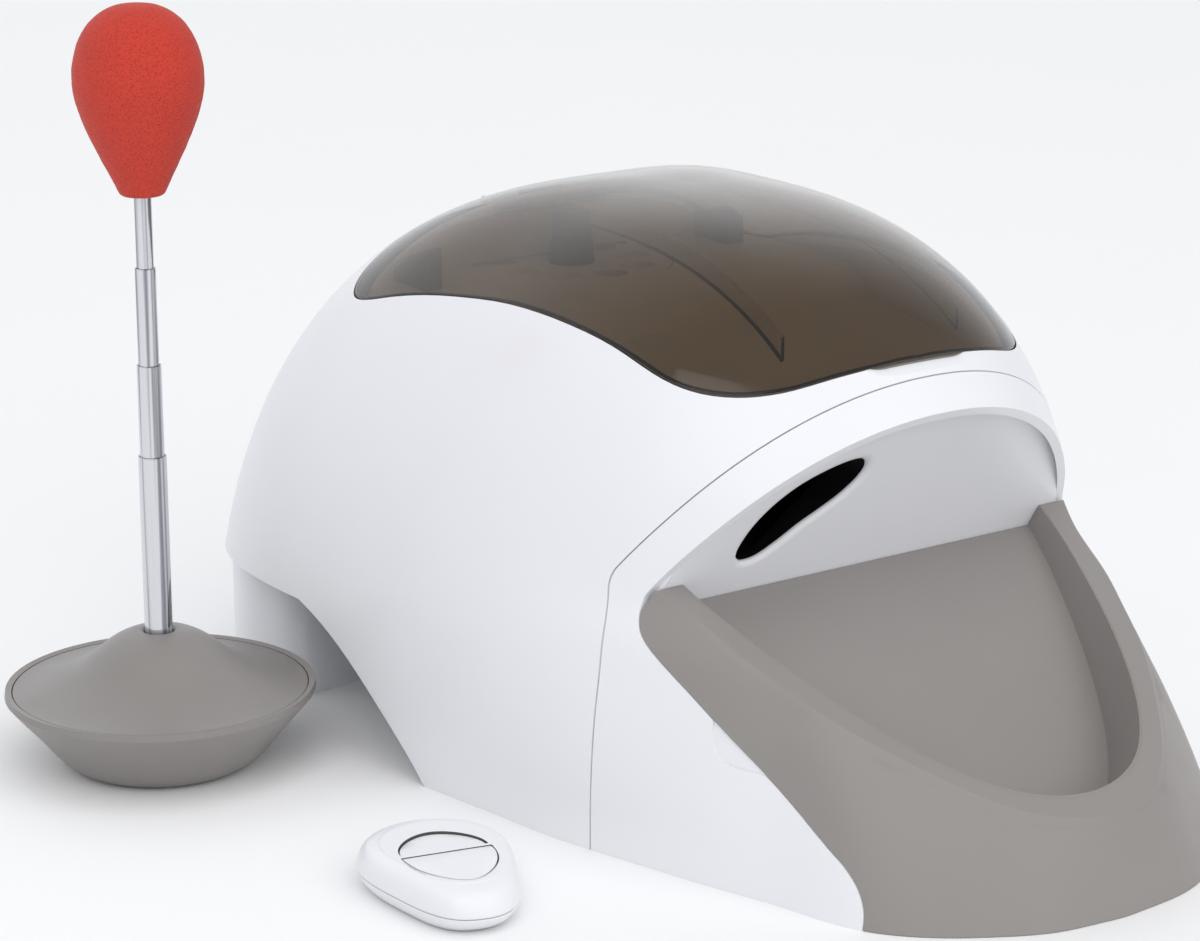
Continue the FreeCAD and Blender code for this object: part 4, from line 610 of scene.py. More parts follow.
def prism(outline: Sequence[tuple[Vector, Vector]]) -> bpy.types.Object:
    """A closed solid between two matching rings of points.

    Args:
        outline: pairs of a near and a far point, millimetres, in order round the ring.

    Returns:
        The solid, as an object.
    """
    form = bmesh.new()
    near = [form.verts.new(a * MM) for a, _ in outline]
    far = [form.verts.new(b * MM) for _, b in outline]
    form.faces.new(near)
    form.faces.new(far[::-1])
    for k in range(len(outline)):
        n = (k + 1) % len(outline)
        form.faces.new((near[k], far[k], far[n], near[n]))
    bmesh.ops.recalc_face_normals(form, faces=form.faces)
    bmesh.ops.triangulate(form, faces=form.faces)
    mesh = bpy.data.meshes.new("cutter")
    form.to_mesh(mesh)
    form.free()
    return link(mesh, "cutter")


def carved(piece: bpy.types.Object, cutter: bpy.types.Object) -> None:
    """Cut one solid out of a piece and throw the cutter away.

    Args:
        piece: the piece that is cut.
        cutter: the solid.
    """
    cut = piece.modifiers.new("cut", "BOOLEAN")
    cut.operation = "DIFFERENCE"
    cut.solver = "EXACT"
    cut.object = cutter
    finished(piece)
    bpy.data.objects.remove(cutter)


def dressed(node: str, slot: Slot, body: str, edgings: Sequence[Edging] = (), steps: int = 3,
            cutters: Sequence[bpy.types.Object] = ()) -> bpy.types.Object:
    """Copy, merge, round and place a solid as a piece that stands for it.

    Args:
        node: name of the solid.
        slot: its finish.
        body: body that it rides on.
        edgings: its roundings.
        steps: faces across a rounding.
        cutters: solids that are cut out of it first.

    Returns:
        The new piece, with the node's name and _skin.
    """
    piece = merged(node, node + "_skin", slot)
    for cutter in cutters:
        carved(piece, cutter)
    if edgings:
        rounded(piece, edgings, steps)
    else:
        smooth(piece)
    placed(piece, body)
    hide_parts(node)
    return piece


def painted(finishes: dict[str, Slot]) -> None:
    """Give solids that stay as they are their finishes.

    Args:
        finishes: finish of each solid by its node's name.
    """
    for node, slot in finishes.items():
        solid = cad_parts[node]
        solid.data.materials.clear()
        solid.data.materials.append(PAINTS.get(slot))
        log.info("%s keeps its solid", node)


# ---- things that repeat --------------------------------------------------------------------
def grower(name: str, sockets: dict[str, str]) -> tuple[bpy.types.NodeTree, bpy.types.Node]:
    """Start a Geometry Nodes tree with an input of geometry and some more.

    Args:
        name: name of the tree.
        sockets: kind of each further input, by its name.

    Returns:
        The tree and the node of its inputs.
    """
    tree = bpy.data.node_groups.new(name, "GeometryNodeTree")
    for title, kind in {"Geometry": "Geometry", **sockets}.items():
        tree.interface.new_socket(title, in_out="INPUT", socket_type="NodeSocket" + kind)
    tree.interface.new_socket("Geometry", in_out="OUTPUT", socket_type="NodeSocketGeometry")
    return tree, add(tree, "NodeGroupInput")


def swept(tree: bpy.types.NodeTree, given: bpy.types.Node, curve: bpy.types.NodeSocket,
          caps: bool = False) -> bpy.types.NodeSocket:
    """Sweep a round bead of the input Bead Radius along a curve.

    Args:
        tree: tree that gets the nodes.
        given: the node of its inputs.
        curve: the curve.
        caps: True to close the ends.

    Returns:
        The swept mesh.
    """
    bead = add(tree, "GeometryNodeCurvePrimitiveCircle", {"Resolution": BEAD_SIDES},
               {"Radius": given.outputs["Bead Radius"]})
    return add(tree, "GeometryNodeCurveToMesh", {"Fill Caps": caps},
               {"Curve": curve, "Profile Curve": bead.outputs["Curve"]}).outputs["Mesh"]


def grown(name: str, spots: Sequence[Point], tree: bpy.types.NodeTree,
          made: bpy.types.NodeSocket, values: dict, slot: Slot, body: str,
          edges: Sequence[tuple[int, int]] = ()) -> bpy.types.Object:
    """End a Geometry Nodes tree, grow it on points and turn the result into a plain mesh.

    Args:
        name: name of the piece.
        spots: the points, millimetres.
        tree: the tree.
        made: what the tree has made.
        values: value of each of its inputs by name.
        slot: finish.
        body: body that the piece rides on.
        edges: pairs of points that are joined.

    Returns:
        The piece.
    """
    real = add(tree, "GeometryNodeRealizeInstances", None, {"Geometry": made})
    finish = add(tree, "GeometryNodeSetMaterial", {"Material": PAINTS.get(slot)},
                 {"Geometry": real.outputs["Geometry"]})
    add(tree, "NodeGroupOutput", None, {"Geometry": finish.outputs["Geometry"]})
    mesh = bpy.data.meshes.new(name)
    mesh.from_pydata([tuple(c * MM for c in spot) for spot in spots], list(edges), [])
    piece = link(mesh, name)
    maker = piece.modifiers.new("grow", "NODES")
    maker.node_group = tree
    sockets = {item.name: item.identifier for item in tree.interface.items_tree
               if item.item_type == "SOCKET" and item.in_out == "INPUT"}
    for key, value in values.items():
        maker[sockets[key]] = value
    finished(piece)
    smooth(piece, 40.0)
    return placed(piece, body)


@dataclass
class Beads:
    """Rings of round bead, one at each of a set of spots, made by Geometry Nodes.

    Attributes:
        ring: radius of the ring to the middle of the bead, millimetres.
        bead: radius of the bead, millimetres.
        sides: number of faces round the ring.
    """

    ring: float
    bead: float
    sides: int

    def place(self, name: str, spots: Sequence[Point], slot: Slot, body: str) -> None:
        """Make one piece of all the rings.

        Args:
            name: name of the piece.
            spots: centre of each ring, millimetres.
            slot: finish.
            body: body that it rides on.
        """
        tree, given = grower("beads_at_points", {"Ring Radius": "Float", "Bead Radius": "Float"})
        ring = add(tree, "GeometryNodeCurvePrimitiveCircle", {"Resolution": self.sides},
                   {"Radius": given.outputs["Ring Radius"]})
        spread = add(tree, "GeometryNodeInstanceOnPoints", None,
                     {"Points": given.outputs["Geometry"],
                      "Instance": swept(tree, given, ring.outputs["Curve"])})
        grown(name, spots, tree, spread.outputs["Instances"],
              {"Ring Radius": self.ring * MM, "Bead Radius": self.bead * MM}, slot, body)


@dataclass
class Line:
    """A round bead that follows a path, made by Geometry Nodes.

    Attributes:
        bead: radius of the bead, millimetres.
        closed: True if the path closes on itself.
    """

    bead: float
    closed: bool = False

    def place(self, name: str, path: Sequence[Point], slot: Slot, body: str) -> bpy.types.Object:
        """Sweep the bead along a path.

        Args:
            name: name of the piece.
            path: points of the path, millimetres.
            slot: finish.
            body: body that it rides on.

        Returns:
            The piece, a plain mesh.
        """
        tree, given = grower("bead_on_path", {"Bead Radius": "Float"})
        curve = add(tree, "GeometryNodeMeshToCurve", None, {"Mesh": given.outputs["Geometry"]})
        last = len(path) - 1
        edges = [(k, k + 1) for k in range(last)] + ([(last, 0)] if self.closed else [])
        return grown(name, path, tree, swept(tree, given, curve.outputs["Curve"], caps=True),
                     {"Bead Radius": self.bead * MM}, slot, body, edges)


@dataclass
class Heads:
    """Domed screw heads with a cross recess, made by Geometry Nodes at a set of spots.

    Attributes:
        radius: radius of a head, millimetres.
        height: how far it stands out, millimetres.
        turn: the most that one is turned from the next, radians.
        sides: corners round it.
        dome: rings of the dome, as shares of radius and height.
        recess: depth of the cross, as a share of the height.
    """

    radius: float = 3.0
    height: float = 1.0
    turn: float = 0.4
    sides: int = 24
    dome: tuple[Flat, ...] = ((0.45, 0.98), (0.8, 0.8), (1.0, 0.35), (1.0, 0.0))
    recess: float = 0.65

    def head(self) -> bpy.types.Object:
        """Shape one head that looks down.

        Returns:
            The head, an object of few faces.
        """
        form = bmesh.new()
        rings = []
        for share, rise in self.dome:
            ring = []
            for k in range(self.sides):
                angle = math.tau * k / self.sides
                in_cross = share < 0.5 and abs(math.sin(2 * angle)) < 0.55
                ring.append(form.verts.new(
                    (self.radius * share * math.cos(angle) * MM,
                     self.radius * share * math.sin(angle) * MM,
                     -self.height * (rise - (self.recess if in_cross else 0.0)) * MM)))
            rings.append(ring)
        centre = form.verts.new((0, 0, -self.height * 0.2 * MM))
        for k in range(self.sides):
            n = (k + 1) % self.sides
            form.faces.new((centre, rings[0][k], rings[0][n]))
            for a, b in zip(rings, rings[1:]):
                form.faces.new((a[k], b[k], b[n], a[n]))
        form.faces.new(rings[-1])
        bmesh.ops.recalc_face_normals(form, faces=form.faces)
        mesh = bpy.data.meshes.new("screw_head")
        form.to_mesh(mesh)
        form.free()
        return link(mesh, "screw_head")

    def place(self, name: str, spots: Sequence[Point], slot: Slot, body: str) -> None:
        """Make one piece of all the heads.

        Args:
            name: name of the piece.
            spots: middle of each head's seat, millimetres.
            slot: finish.
            body: body that it rides on.
        """
        pattern = self.head()
        tree, given = grower("heads_at_points", {"Head": "Object", "Turn": "Float"})
        shape = add(tree, "GeometryNodeObjectInfo", None, {"Object": given.outputs["Head"]})
        spin = add(tree, "FunctionNodeRandomValue", {"Seed": 7}, {3: given.outputs["Turn"]},
                   data_type="FLOAT")
        turn = add(tree, "ShaderNodeCombineXYZ", None, {"Z": spin.outputs[1]})
        spread = add(tree, "GeometryNodeInstanceOnPoints", None,
                     {"Points": given.outputs["Geometry"], "Instance": shape.outputs["Geometry"],
                      "Rotation": turn.outputs["Vector"]})
        grown(name, spots, tree, spread.outputs["Instances"],
              {"Head": pattern, "Turn": self.turn}, slot, body)
        bpy.data.objects.remove(pattern)


def patch(name: str, grid: Sequence[Sequence[Vector]], slot: Slot, body: str,
          thick: float = 0.0, closed: bool = False) -> bpy.types.Object:
    """Make a smooth piece from a grid of points.

    Args:
        name: name of the piece.
        grid: rows of points in millimetres, all of one length.
        slot: finish.
        body: body that it rides on.
        thick: thickness given inwards, millimetres, or 0 for none.
        closed: True if each row closes on itself.

    Returns:
        The piece.
    """
    rows, columns = len(grid), len(grid[0])
    faces = []
    for r in range(rows - 1):
        for c in range(columns if closed else columns - 1):
            d = (c + 1) % columns
            faces.append((r * columns + c, r * columns + d,
                          (r + 1) * columns + d, (r + 1) * columns + c))
    mesh = bpy.data.meshes.new(name)
    mesh.from_pydata([tuple(p * MM) for row in grid for p in row], [], faces)
    mesh.materials.append(PAINTS.get(slot))
    piece = link(mesh, name)
    if thick:
        wall = piece.modifiers.new("wall", "SOLIDIFY")
        wall.thickness = thick * MM
        wall.offset = -1.0
        finished(piece)
    smooth(piece, 50.0)
    return placed(piece, body)


def surface_of(node: str) -> Callable[[Point, Point], Vector | None]:
    """A function that finds where a ray first meets a solid.

    Args:
        node: name of the solid.

    Returns:
        A function of a start and a direction in millimetres that gives the point, or None.
    """
    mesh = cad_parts[node].data
    tree = BVHTree.FromPolygons([v.co.copy() for v in mesh.vertices],
                                [tuple(p.vertices) for p in mesh.polygons])

    def meet(start: Point, way: Point) -> Vector | None:
        """First point that the ray meets, in millimetres."""
        hit = tree.ray_cast(Vector(start) * MM, Vector(way))[0]
        return None if hit is None else hit / MM

    return meet


# ---- dispenser -----------------------------------------------------------------------------
@dataclass
class Housing:
    """White body shell, front fascia with its mouth, and what joins them."""

    seam: tuple[Flat, ...] = (      # joint line from the side, (height, Y)
        (-10, 0.0), (66, 0.0), (80, 0.5), (92.5, 2.0), (104, 4.4), (109, 5.0), (113.5, 4.1),
        (117.5, 1.8), (260, -100.8))
    seam_reach: float = 1.2
    seam_round: float = 0.25
    lip_y: float = -12.0
    lip_z: float = 111.0
    lip_low: float = 108.0
    lip_slope: float = 0.738
    lip_round: float = 2.6
    face_foot: Flat = (-9.0, 100.0)
    face_runs: Flat = (17.5, 43.0)  # how far the face leans out halfway up and at its top
    face_half: float = 37.5
    slot: tuple[Flat, ...] = (      # treat slot from the front, clockwise
        (-70.5, 120.5), (-67.0, 130.0), (-60.5, 139.0), (-51.5, 146.5), (-41.0, 151.5),
        (-30.5, 154.5), (-22.5, 154.5), (-18.5, 150.5), (-19.5, 144.5), (-25.0, 137.5),
        (-33.0, 131.5), (-41.5, 126.0), (-50.0, 119.5), (-58.5, 114.5), (-66.0, 113.5),
        (-70.0, 116.0))
    slot_points: int = 96
    slot_round: float = 3.2
    slot_depth: float = 2.78
    slot_steps: int = 10
    notch: tuple[Flat, ...] = ((-27.0, -41.0), (-20.0, -45.0), (-10.0, -46.8), (0.0, -47.2),
                               (10.0, -46.8), (20.0, -45.0), (27.0, -41.0))
    notch_points: int = 40
    lid_front: float = -42.5
    dish_rows: int = 8
    dish_depth: float = 2.5
    dish_wall: float = 3.6
    pocket_line: tuple[Flat, ...] = (   # edge of the pocket in a cheek, (Y, height)
        (-49.8, 68.5), (-51.0, 62.0), (-52.3, 57.0), (-55.0, 52.6), (-59.7, 49.8),
        (-67.0, 49.0), (-77.0, 48.6))
    pocket_corners: tuple[Flat, ...] = ((-84.0, 52.0), (-62.0, 78.0))
    pocket_plane: tuple[Flat, ...] = ((-45.0, 56.0), (-52.0, 47.0), (-62.0, 44.0))
    pocket_depth: float = 1.2
    pocket_height: float = 6.0

    def seam_y(self, z: float) -> float:
        """Find the joint line at a height.

        Args:
            z: the height, millimetres.

        Returns:
            Its Y there, millimetres.
        """
        for (z0, y0), (z1, y1) in zip(self.seam, self.seam[1:]):
            if z <= z1:
                return y0 + (y1 - y0) * (z - z0) / (z1 - z0)
        return self.seam[-1][1]

    def at_seam(self, spot: Vector, _outward: float) -> bool:
        """True on the joint line."""
        return abs(spot.y - self.seam_y(spot.z)) < self.seam_reach

    def at_lip(self, spot: Vector, outward: float) -> bool:
        """True on the outer edge of the mouth's lip."""
        lip = self.lip_y - self.lip_slope * (spot.z - self.lip_z)
        return spot.z > self.lip_low and abs(spot.y - lip) < 0.5 and outward > 0.0

    def build(self) -> None:
        """Dress every piece of the outer housing."""
        seam = Edging(self.seam_round, self.at_seam)
        dressed("body_shell", Slot.SHELL, "housing", [seam, Edging(1.0)])
        dressed("front_fascia", Slot.SHELL, "housing",
                [seam, Edging(self.lip_round, self.at_lip), Edging(0.6)], steps=5,
                cutters=[self.pocket(side) for side in (-1, 1)])
        slot = self.slot_line()
        wide = [spot + way * self.slot_round for spot, way in slot]
        opening = prism([(Vector((p.x, -90.0, p.z)), Vector((p.x, 0.0, p.z))) for p in wide])
        dressed("face_plate", Slot.SHELL, "housing", cutters=[opening])
        self.slot_edge(slot)
        self.notch_dish()
        dressed("base_pan", Slot.SHELL, "housing", [Edging(0.6)])
        # the strip behind the joint line is painted black: painted shade, so the narrow gap
        # between shell and fascia reads as a dark line
        painted({"lid_seat": Slot.SHELL, "seam_strip": Slot.BLACK})
        dressed("slot_liner", Slot.BLACK, "housing")
        painted({"treat_chute": Slot.BLACK})

    def face_y(self, z: float) -> float:
        """Find the face's front at a height.

        Args:
            z: the height, millimetres.

        Returns:
            Its Y there, millimetres.
        """
        h = z - self.face_foot[1]
        half, (low, high) = self.face_half, self.face_runs
        bend = (high / (2 * half) - low / half) / half
        return self.face_foot[0] - (low / half - bend * half) * h - bend * h * h

    def slot_line(self) -> list[tuple[Vector, Vector]]:
        """Walk round the treat slot in the plane of X and Z.

        Returns:
            Points in millimetres, each with its outward direction.
        """
        count = self.slot_points
        fine = smooth_line(self.slot * 3, 3 * count)[count:2 * count]
        spots = [Vector((x, 0.0, z)) for x, z in fine]
        line = []
        for k, spot in enumerate(spots):
            run = spots[(k + 2) % count] - spots[k - 2]
            line.append((spot, Vector((-run.z, 0.0, run.x)).normalized()))
        return line

    def slot_edge(self, slot: Sequence[tuple[Vector, Vector]]) -> None:
        """Round the slot's edge over, from flush with the face down to the throat.

        Args:
            slot: points round the slot and their outward directions.
        """
        # share of the rounding's width, and depth below the face; the first row is a hidden hem
        steps = [(1.04, 0.35), (1.0, 0.0)]
        for k in range(1, self.slot_steps + 1):
            angle = k * math.pi / (2 * self.slot_steps)
            steps.append((1.0 - math.sin(angle) * 1.07, (1.0 - math.cos(angle)) * self.slot_depth))
        rows = []
        for out, depth in steps:
            ring = [spot + way * self.slot_round * out for spot, way in slot]
            row = [Vector((at.x, self.face_y(at.z) + depth, at.z)) for at in ring]
            rows.append(row + row[:1])
        patch("slot_edge", rows, Slot.SHELL, "housing")

    def notch_dish(self) -> None:
        """Shallow finger dish in the shell, under the lid's front edge."""
        on_shell, on_lid = surface_of("body_shell"), surface_of("lid")
        half_width, sink = self.notch[-1][0], Vector((0.0, 0.5, -0.85))
        rows: list[list[Vector]] = [[] for _ in range(self.dish_rows + 1)]
        for x, y in smooth_line(self.notch, self.notch_points):
            # the lid's front edge curves back by 1.5 mm at 22 mm from the middle
            back = self.lid_front + 1.5 * (x / 22.0) ** 2
            near, far = on_shell((x, y - 0.35, ABOVE), DOWN), on_lid((x, back + 0.5, ABOVE), DOWN)
            if near is None or far is None:
                continue
            fall = max(0.5, min(1.0, (back - y) / 4.0))
            rear = back - 0.12 - 0.6 * (abs(x) / half_width) ** 6
            for k, row in enumerate(rows[:-1]):
                v = k / (self.dish_rows - 1)
                spot = near.lerp(Vector((x, rear, far.z)), v)
                row.append(spot + sink * (0.06 + self.dish_depth * fall * v ** 1.2))
            rows[-1].append(Vector((x, rear, far.z - self.dish_wall)))
        patch("notch_dish", rows, Slot.SHELL, "housing")

    def pocket(self, side: int) -> bpy.types.Object:
        """Cutter for the shallow finger pocket in a cheek, beside the tray.

        Args:
            side: -1 for the -X cheek, 1 for the other.

        Returns:
            The cutter.
        """
        meet = surface_of("front_fascia")
        a, b, c = (meet((side * 300.0, y, z), (-side, 0, 0)) for y, z in self.pocket_plane)
        across = (b - a).cross(c - a).normalized()
        if across.x * side < 0:
            across.negate()
        pairs = []
        for y, z in (*smooth_line(self.pocket_line, 40), *self.pocket_corners):
            x = a.x - (across.y * (y - a.y) + across.z * (z - a.z)) / across.x
            spot = Vector((x, y, z))
            pairs.append((spot - across * self.pocket_depth, spot + across * self.pocket_height))
        return prism(pairs)


@dataclass
class Lid:
    """Smoked lid with its ribs and hinge."""

    edge: float = 0.9
    side: tuple[Flat, ...] = (      # plan of the right half, from the front to the hinge
        (0.0, -42.5), (22.0, -41.0), (42.0, -36.5), (58.0, -30.0), (72.0, -19.5), (82.0, -7.0),
        (89.0, 8.0), (94.0, 32.0), (98.5, 62.0), (103.0, 105.0), (107.5, 150.0),
        (111.0, 180.0), (112.0, 198.0), (109.0, 211.0), (101.0, 218.5), (88.0, 220.5),
        (40.0, 221.5), (14.0, 221.8))
    side_steps: int = 130
    rim: float = 0.75
    rim_depth: float = 0.35
    rib_round: float = 0.8

    def half_plan(self) -> list[Flat]:
        """Even steps along the right half of the plan."""
        return smooth_line(self.side, self.side_steps)

    def build(self) -> None:
        """Dress the lid, its ribs and the hinge pin."""
        dressed("lid", Slot.LID, "lid", [Edging(self.edge)])
        meet = surface_of("lid")
        half, path = self.half_plan(), []
        inset = self.rim + self.rim_depth
        for x, y in half + [(-x, y) for x, y in half[-1:0:-1]]:
            inward = (Vector((0.0, 90.0, 0.0)) - Vector((x, y, 0.0))).normalized() * inset
            top = meet((x + inward.x, y + inward.y, ABOVE), DOWN)
            path.append((top.x, top.y, top.z - inset))
        rim = Line(self.rim, closed=True).place("lid_rim", path, Slot.LID, "lid")
        rim.data.materials[0] = PAINTS.extra(EDGE_ON)
        ribs = dressed("lid_ribs", Slot.LID, "lid",
                       [Edging(self.rib_round, lambda _, out: out < 0.0), Edging(0.25)])
        ribs.data.materials[0] = PAINTS.extra(RIB_SIDE)
        ribs.data.materials.append(PAINTS.extra(RIB_EDGE))
        for face in ribs.data.polygons:
            if face.normal.z < -0.1 or face.normal.y < -0.7:
                face.material_index = 1
        painted({"hinge_pin": Slot.STEEL})


@dataclass
class Hopper:
    """Beige treat bin with its turning disc, hub and catches."""

    holes: int = 9
    hole_ring: float = 31.0
    hole_radius: float = 7.0
    middle: Flat = (0.0, 200.0)
    shoulder: tuple[Flat, ...] = ((11.0, 186.4), (9.0, 186.9), (6.5, 186.4), (4.8, 185.2))
    shoulder_reach: Flat = (174.0, 220.3)

    def shoulders(self) -> None:
        """Close the deck's rear corners down to the band under the shell's opening."""
        low, high = self.shoulder_reach
        line = [spot for spot in Lid().half_plan() if low < spot[1] < high]
        for name, side in (("left", -1), ("right", 1)):
            rows = []
            for inset, z in self.shoulder:
                row = []
                for (x, y), (u, v) in zip(line, line[1:]):
                    share = inset / math.hypot(u - x, v - y)
                    row.append(Vector((side * (x - (v - y) * share), y + (u - x) * share, z)))
                rows.append(row)
            patch(f"deck_shoulder_{name}", rows[::-side], Slot.DECK, "housing", thick=1.0)

    def build(self) -> None:
        """Dress what shows through the lid and the drive below it."""
        self.shoulders()
        dressed("hopper_tub", Slot.DECK, "housing", [Edging(1.0)])
        dressed("hopper_catches", Slot.GREY, "housing", [Edging(0.5)])
        dressed("disc_seat", Slot.DECK, "housing", [Edging(0.4)])
        dressed("treat_disc", Slot.DECK, "treat_disc", [Edging(0.8)])
        dressed("disc_hub", Slot.GREY, "treat_disc", [Edging(1.2)])
        x, y = self.middle
        beside = x + self.hole_ring + self.hole_radius + 1.0
        top = surface_of("treat_disc")((beside, y, ABOVE), DOWN)
        turns = [math.tau * (k / self.holes - 0.25) for k in range(self.holes)]
        Beads(self.hole_radius + 0.5, 0.4, 40).place(
            "hole_rims", [(x + self.hole_ring * math.cos(a), y + self.hole_ring * math.sin(a),
                           top.z) for a in turns], Slot.DECK, "treat_disc")
        painted({"disc_spindle": Slot.STEEL, "disc_gear": Slot.NYLON, "motor_pinion": Slot.NYLON,
                 "motor_shaft": Slot.STEEL, "gear_motor": Slot.STEEL,
                 "drive_frame": Slot.BLACK})


@dataclass
class Tray:
    """Warm grey food tray: outer skirt, rim and scooped bowl."""

    rim_z: float = 111.0
    rim_y: float = -8.6
    rim_slope: float = 0.48
    joint: Flat = (2.2, 3.6)        # depths below the rim between which skirt and bowl meet
    lift: float = 0.15              # closes the hairline between them
    scoop: tuple[Flat, ...] = (
        (97.0, -9.6), (94.5, -22.0), (85.5, -54.0), (74.0, -84.0), (60.5, -110.0),
        (47.0, -128.5), (33.0, -141.0), (17.0, -148.5), (0.0, -151.0))
    scoop_oval: Point = (99.0, 146.0, -8.0)     # its half width and length, and its middle's Y
    bead: float = 0.42
    bead_end: float = -13.0
    foot_round: float = 1.3
    rim_round: float = 1.8

    def below_rim(self, spot: Vector) -> float:
        """How far a point lies below the rim's plane, millimetres along Z."""
        return self.rim_z + self.rim_slope * (spot.y - self.rim_y) - spot.z

    def at_rim(self, spot: Vector, _outward: float) -> bool:
        """Tell if an edge is on the rim, outside the scoop as seen from above.

        Args:
            spot: middle of the edge, millimetres.

        Returns:
            True if it is.
        """
        wide, long, middle = self.scoop_oval
        reach = math.hypot(spot.x / wide, (spot.y - middle) / long)
        return self.below_rim(spot) < 0.4 and reach > 1.0

    def build(self) -> None:
        """Dress the two halves of the tray, with no rounding at the joint between them."""
        high, low = self.joint
        skirt = dressed("tray_skirt", Slot.TRAY, "food_tray",
                        [Edging(0.0, lambda p, _: self.below_rim(p) < low),
                         Edging(self.foot_round, lambda p, out: p.z < 0.6 and out > 0.0),
                         Edging(0.7)])
        for vertex in skirt.data.vertices:
            if 2.5 < self.below_rim(vertex.co / MM) < 3.2:
                vertex.co.z += self.lift * MM
        half = [(x, y) for x, y in smooth_line(self.scoop, 60) if y < self.bead_end]
        edge = [(-x, y) for x, y in half] + half[-2::-1]
        path = [(x, y, self.rim_z + self.rim_slope * (y - self.rim_y) - 0.2) for x, y in edge]
        Line(self.bead).place("scoop_bead", path, Slot.TRAY, "food_tray")
        dressed("tray_bowl", Slot.TRAY, "food_tray",
                [Edging(0.0, lambda p, _: high < self.below_rim(p) < low),
                 Edging(self.rim_round, self.at_rim), Edging(0.8)], steps=4)


@dataclass
class Underside:
    """Pads, screws, batteries and what else sits in the floor."""

    pads: tuple[Flat, ...] = ((-104, -30), (104, -30), (-118, 66), (118, 66), (-112, 254),
                              (112, 254), (-94, 310), (94, 310))
    screws: tuple[Flat, ...] = ((-124, 40), (124, 40), (-104, -50), (104, -50))
    pad_ring: Flat = (4.4, 0.28)    # radius of a pad's ring, and of its bead
    ring_z: float = 0.3
    screw_z: float = 1.2

    def build(self) -> None:
        """Dress the underside."""
        dressed("foot_pads", Slot.RUBBER, "housing", [Edging(0.3)])
        Beads(*self.pad_ring, 40).place("pad_rings", [(x, y, self.ring_z) for x, y in self.pads],
                                        Slot.RUBBER, "housing")
        Heads().place("screw_faces", [(x, y, self.screw_z) for x, y in self.screws],
                      Slot.STEEL, "housing")
        dressed("battery_door", Slot.SHELL, "battery_door", [Edging(0.5)])
        painted({"case_screws": Slot.STEEL, "battery_bay": Slot.BLACK, "battery_cells": Slot.CELL,
                 "battery_contacts": Slot.STEEL, "speaker": Slot.BLACK,
                 "main_board": Slot.BOARD})


@dataclass
class Panel:
    """Control panel on the tail."""

    buttons: int = 4

    def build(self) -> None:
        """Dress the panel, its screen, buttons and switch."""
        dressed("control_panel", Slot.GREY, "housing", [Edging(0.6)])
        dressed("panel_screen", Slot.SCREEN, "housing", [Edging(0.3)])
        painted({"panel_board": Slot.BOARD})
        for i in range(self.buttons):
            button = f"panel_button_{i + 1}"
            dressed(button, Slot.SHELL, button, [Edging(0.9)])
        dressed("power_switch", Slot.BLACK, "power_switch", [Edging(0.4)])


@dataclass
class Wand:
    """Target wand: foot, telescoping tubes and foam tip."""

    place: Flat = (-222.0, 192.0)
    radii: tuple[float, ...] = (6.0, 5.2, 4.4, 3.6)
    tops: tuple[float, ...] = (136.0, 175.5, 217.0)
    tip: tuple[Flat, ...] = (       # half section of the foam, (radius, height)
        (3.7, 248.0), (8.0, 248.0), (9.4, 248.8), (10.5, 251.0), (13.0, 256.2), (17.3, 265.0),
        (21.4, 274.0), (24.4, 282.0), (26.4, 289.5), (27.0, 296.0), (26.6, 302.5),
        (24.4, 310.8), (20.6, 317.8), (15.4, 322.9), (9.6, 325.9), (4.6, 326.8), (0.0, 327.0))
    tip_sides: int = 96
    tip_rows: int = 90
    bore: Flat = (3.7, 262.3)       # radius and top of the hole that takes the last tube

    def build(self) -> None:
        """Dress the wand."""
        dressed("wand_bowl", Slot.WAND, "wand", [Edging(0.7)])
        dressed("wand_cover", Slot.WAND, "wand", [Edging(0.6)])
        painted({"wand_weight": Slot.STEEL})
        x, y = self.place
        for i, radius in enumerate(self.radii):
            body = "wand" if i == 0 else f"wand_tube_{i + 1}"
            dressed(f"wand_tube_{i + 1}", Slot.CHROME, body)
            if i < len(self.tops):
                Beads(radius - 0.25, 0.32, 48).place(
                    f"tube_lip_{i + 1}", [(x, y, self.tops[i] - 0.1)], Slot.CHROME, body)
        self.foam()

    def foam(self) -> None:
        """Turn the foam tip, with its skin slightly uneven as cut foam is."""
        x, y = self.place
        low = self.tip[0][1] - 0.1
        turns = [math.tau * a / self.tip_sides for a in range(self.tip_sides)]
        bore, roof = self.bore
        rows = [[Vector((x, y, roof))] * self.tip_sides,
                [Vector((x + bore * math.cos(a), y + bore * math.sin(a), roof)) for a in turns]]
        for r, z in smooth_line(self.tip, self.tip_rows):
            row = []
            for angle in turns:
                spot = Vector((r * math.cos(angle), r * math.sin(angle), z))
                # broad swells of 0.16 mm with finer ones on them, none at the tip and the hem
                swell = 0.16 * noise.noise(spot / 5.0) + 0.07 * noise.noise(spot / 1.6)
                fade = min(1.0, r / 8.0) * min(1.0, (z - low) / 4.0)
                out = spot.xy.to_3d().normalized() * swell * fade
                row.append(Vector((x, y, 0)) + spot + out if r > 0.01 else Vector((x, y, z)))
            rows.append(row)
        foam = patch("foam_tip_skin", rows, Slot.FOAM, "wand_tube_4", closed=True)
        form = bmesh.new()
        form.from_mesh(foam.data)
        bmesh.ops.remove_doubles(form, verts=form.verts, dist=0.01 * MM)
        bmesh.ops.recalc_face_normals(form, faces=form.faces)
        form.to_mesh(foam.data)
        form.free()
        smooth(foam, 60.0)
        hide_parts("foam_tip")


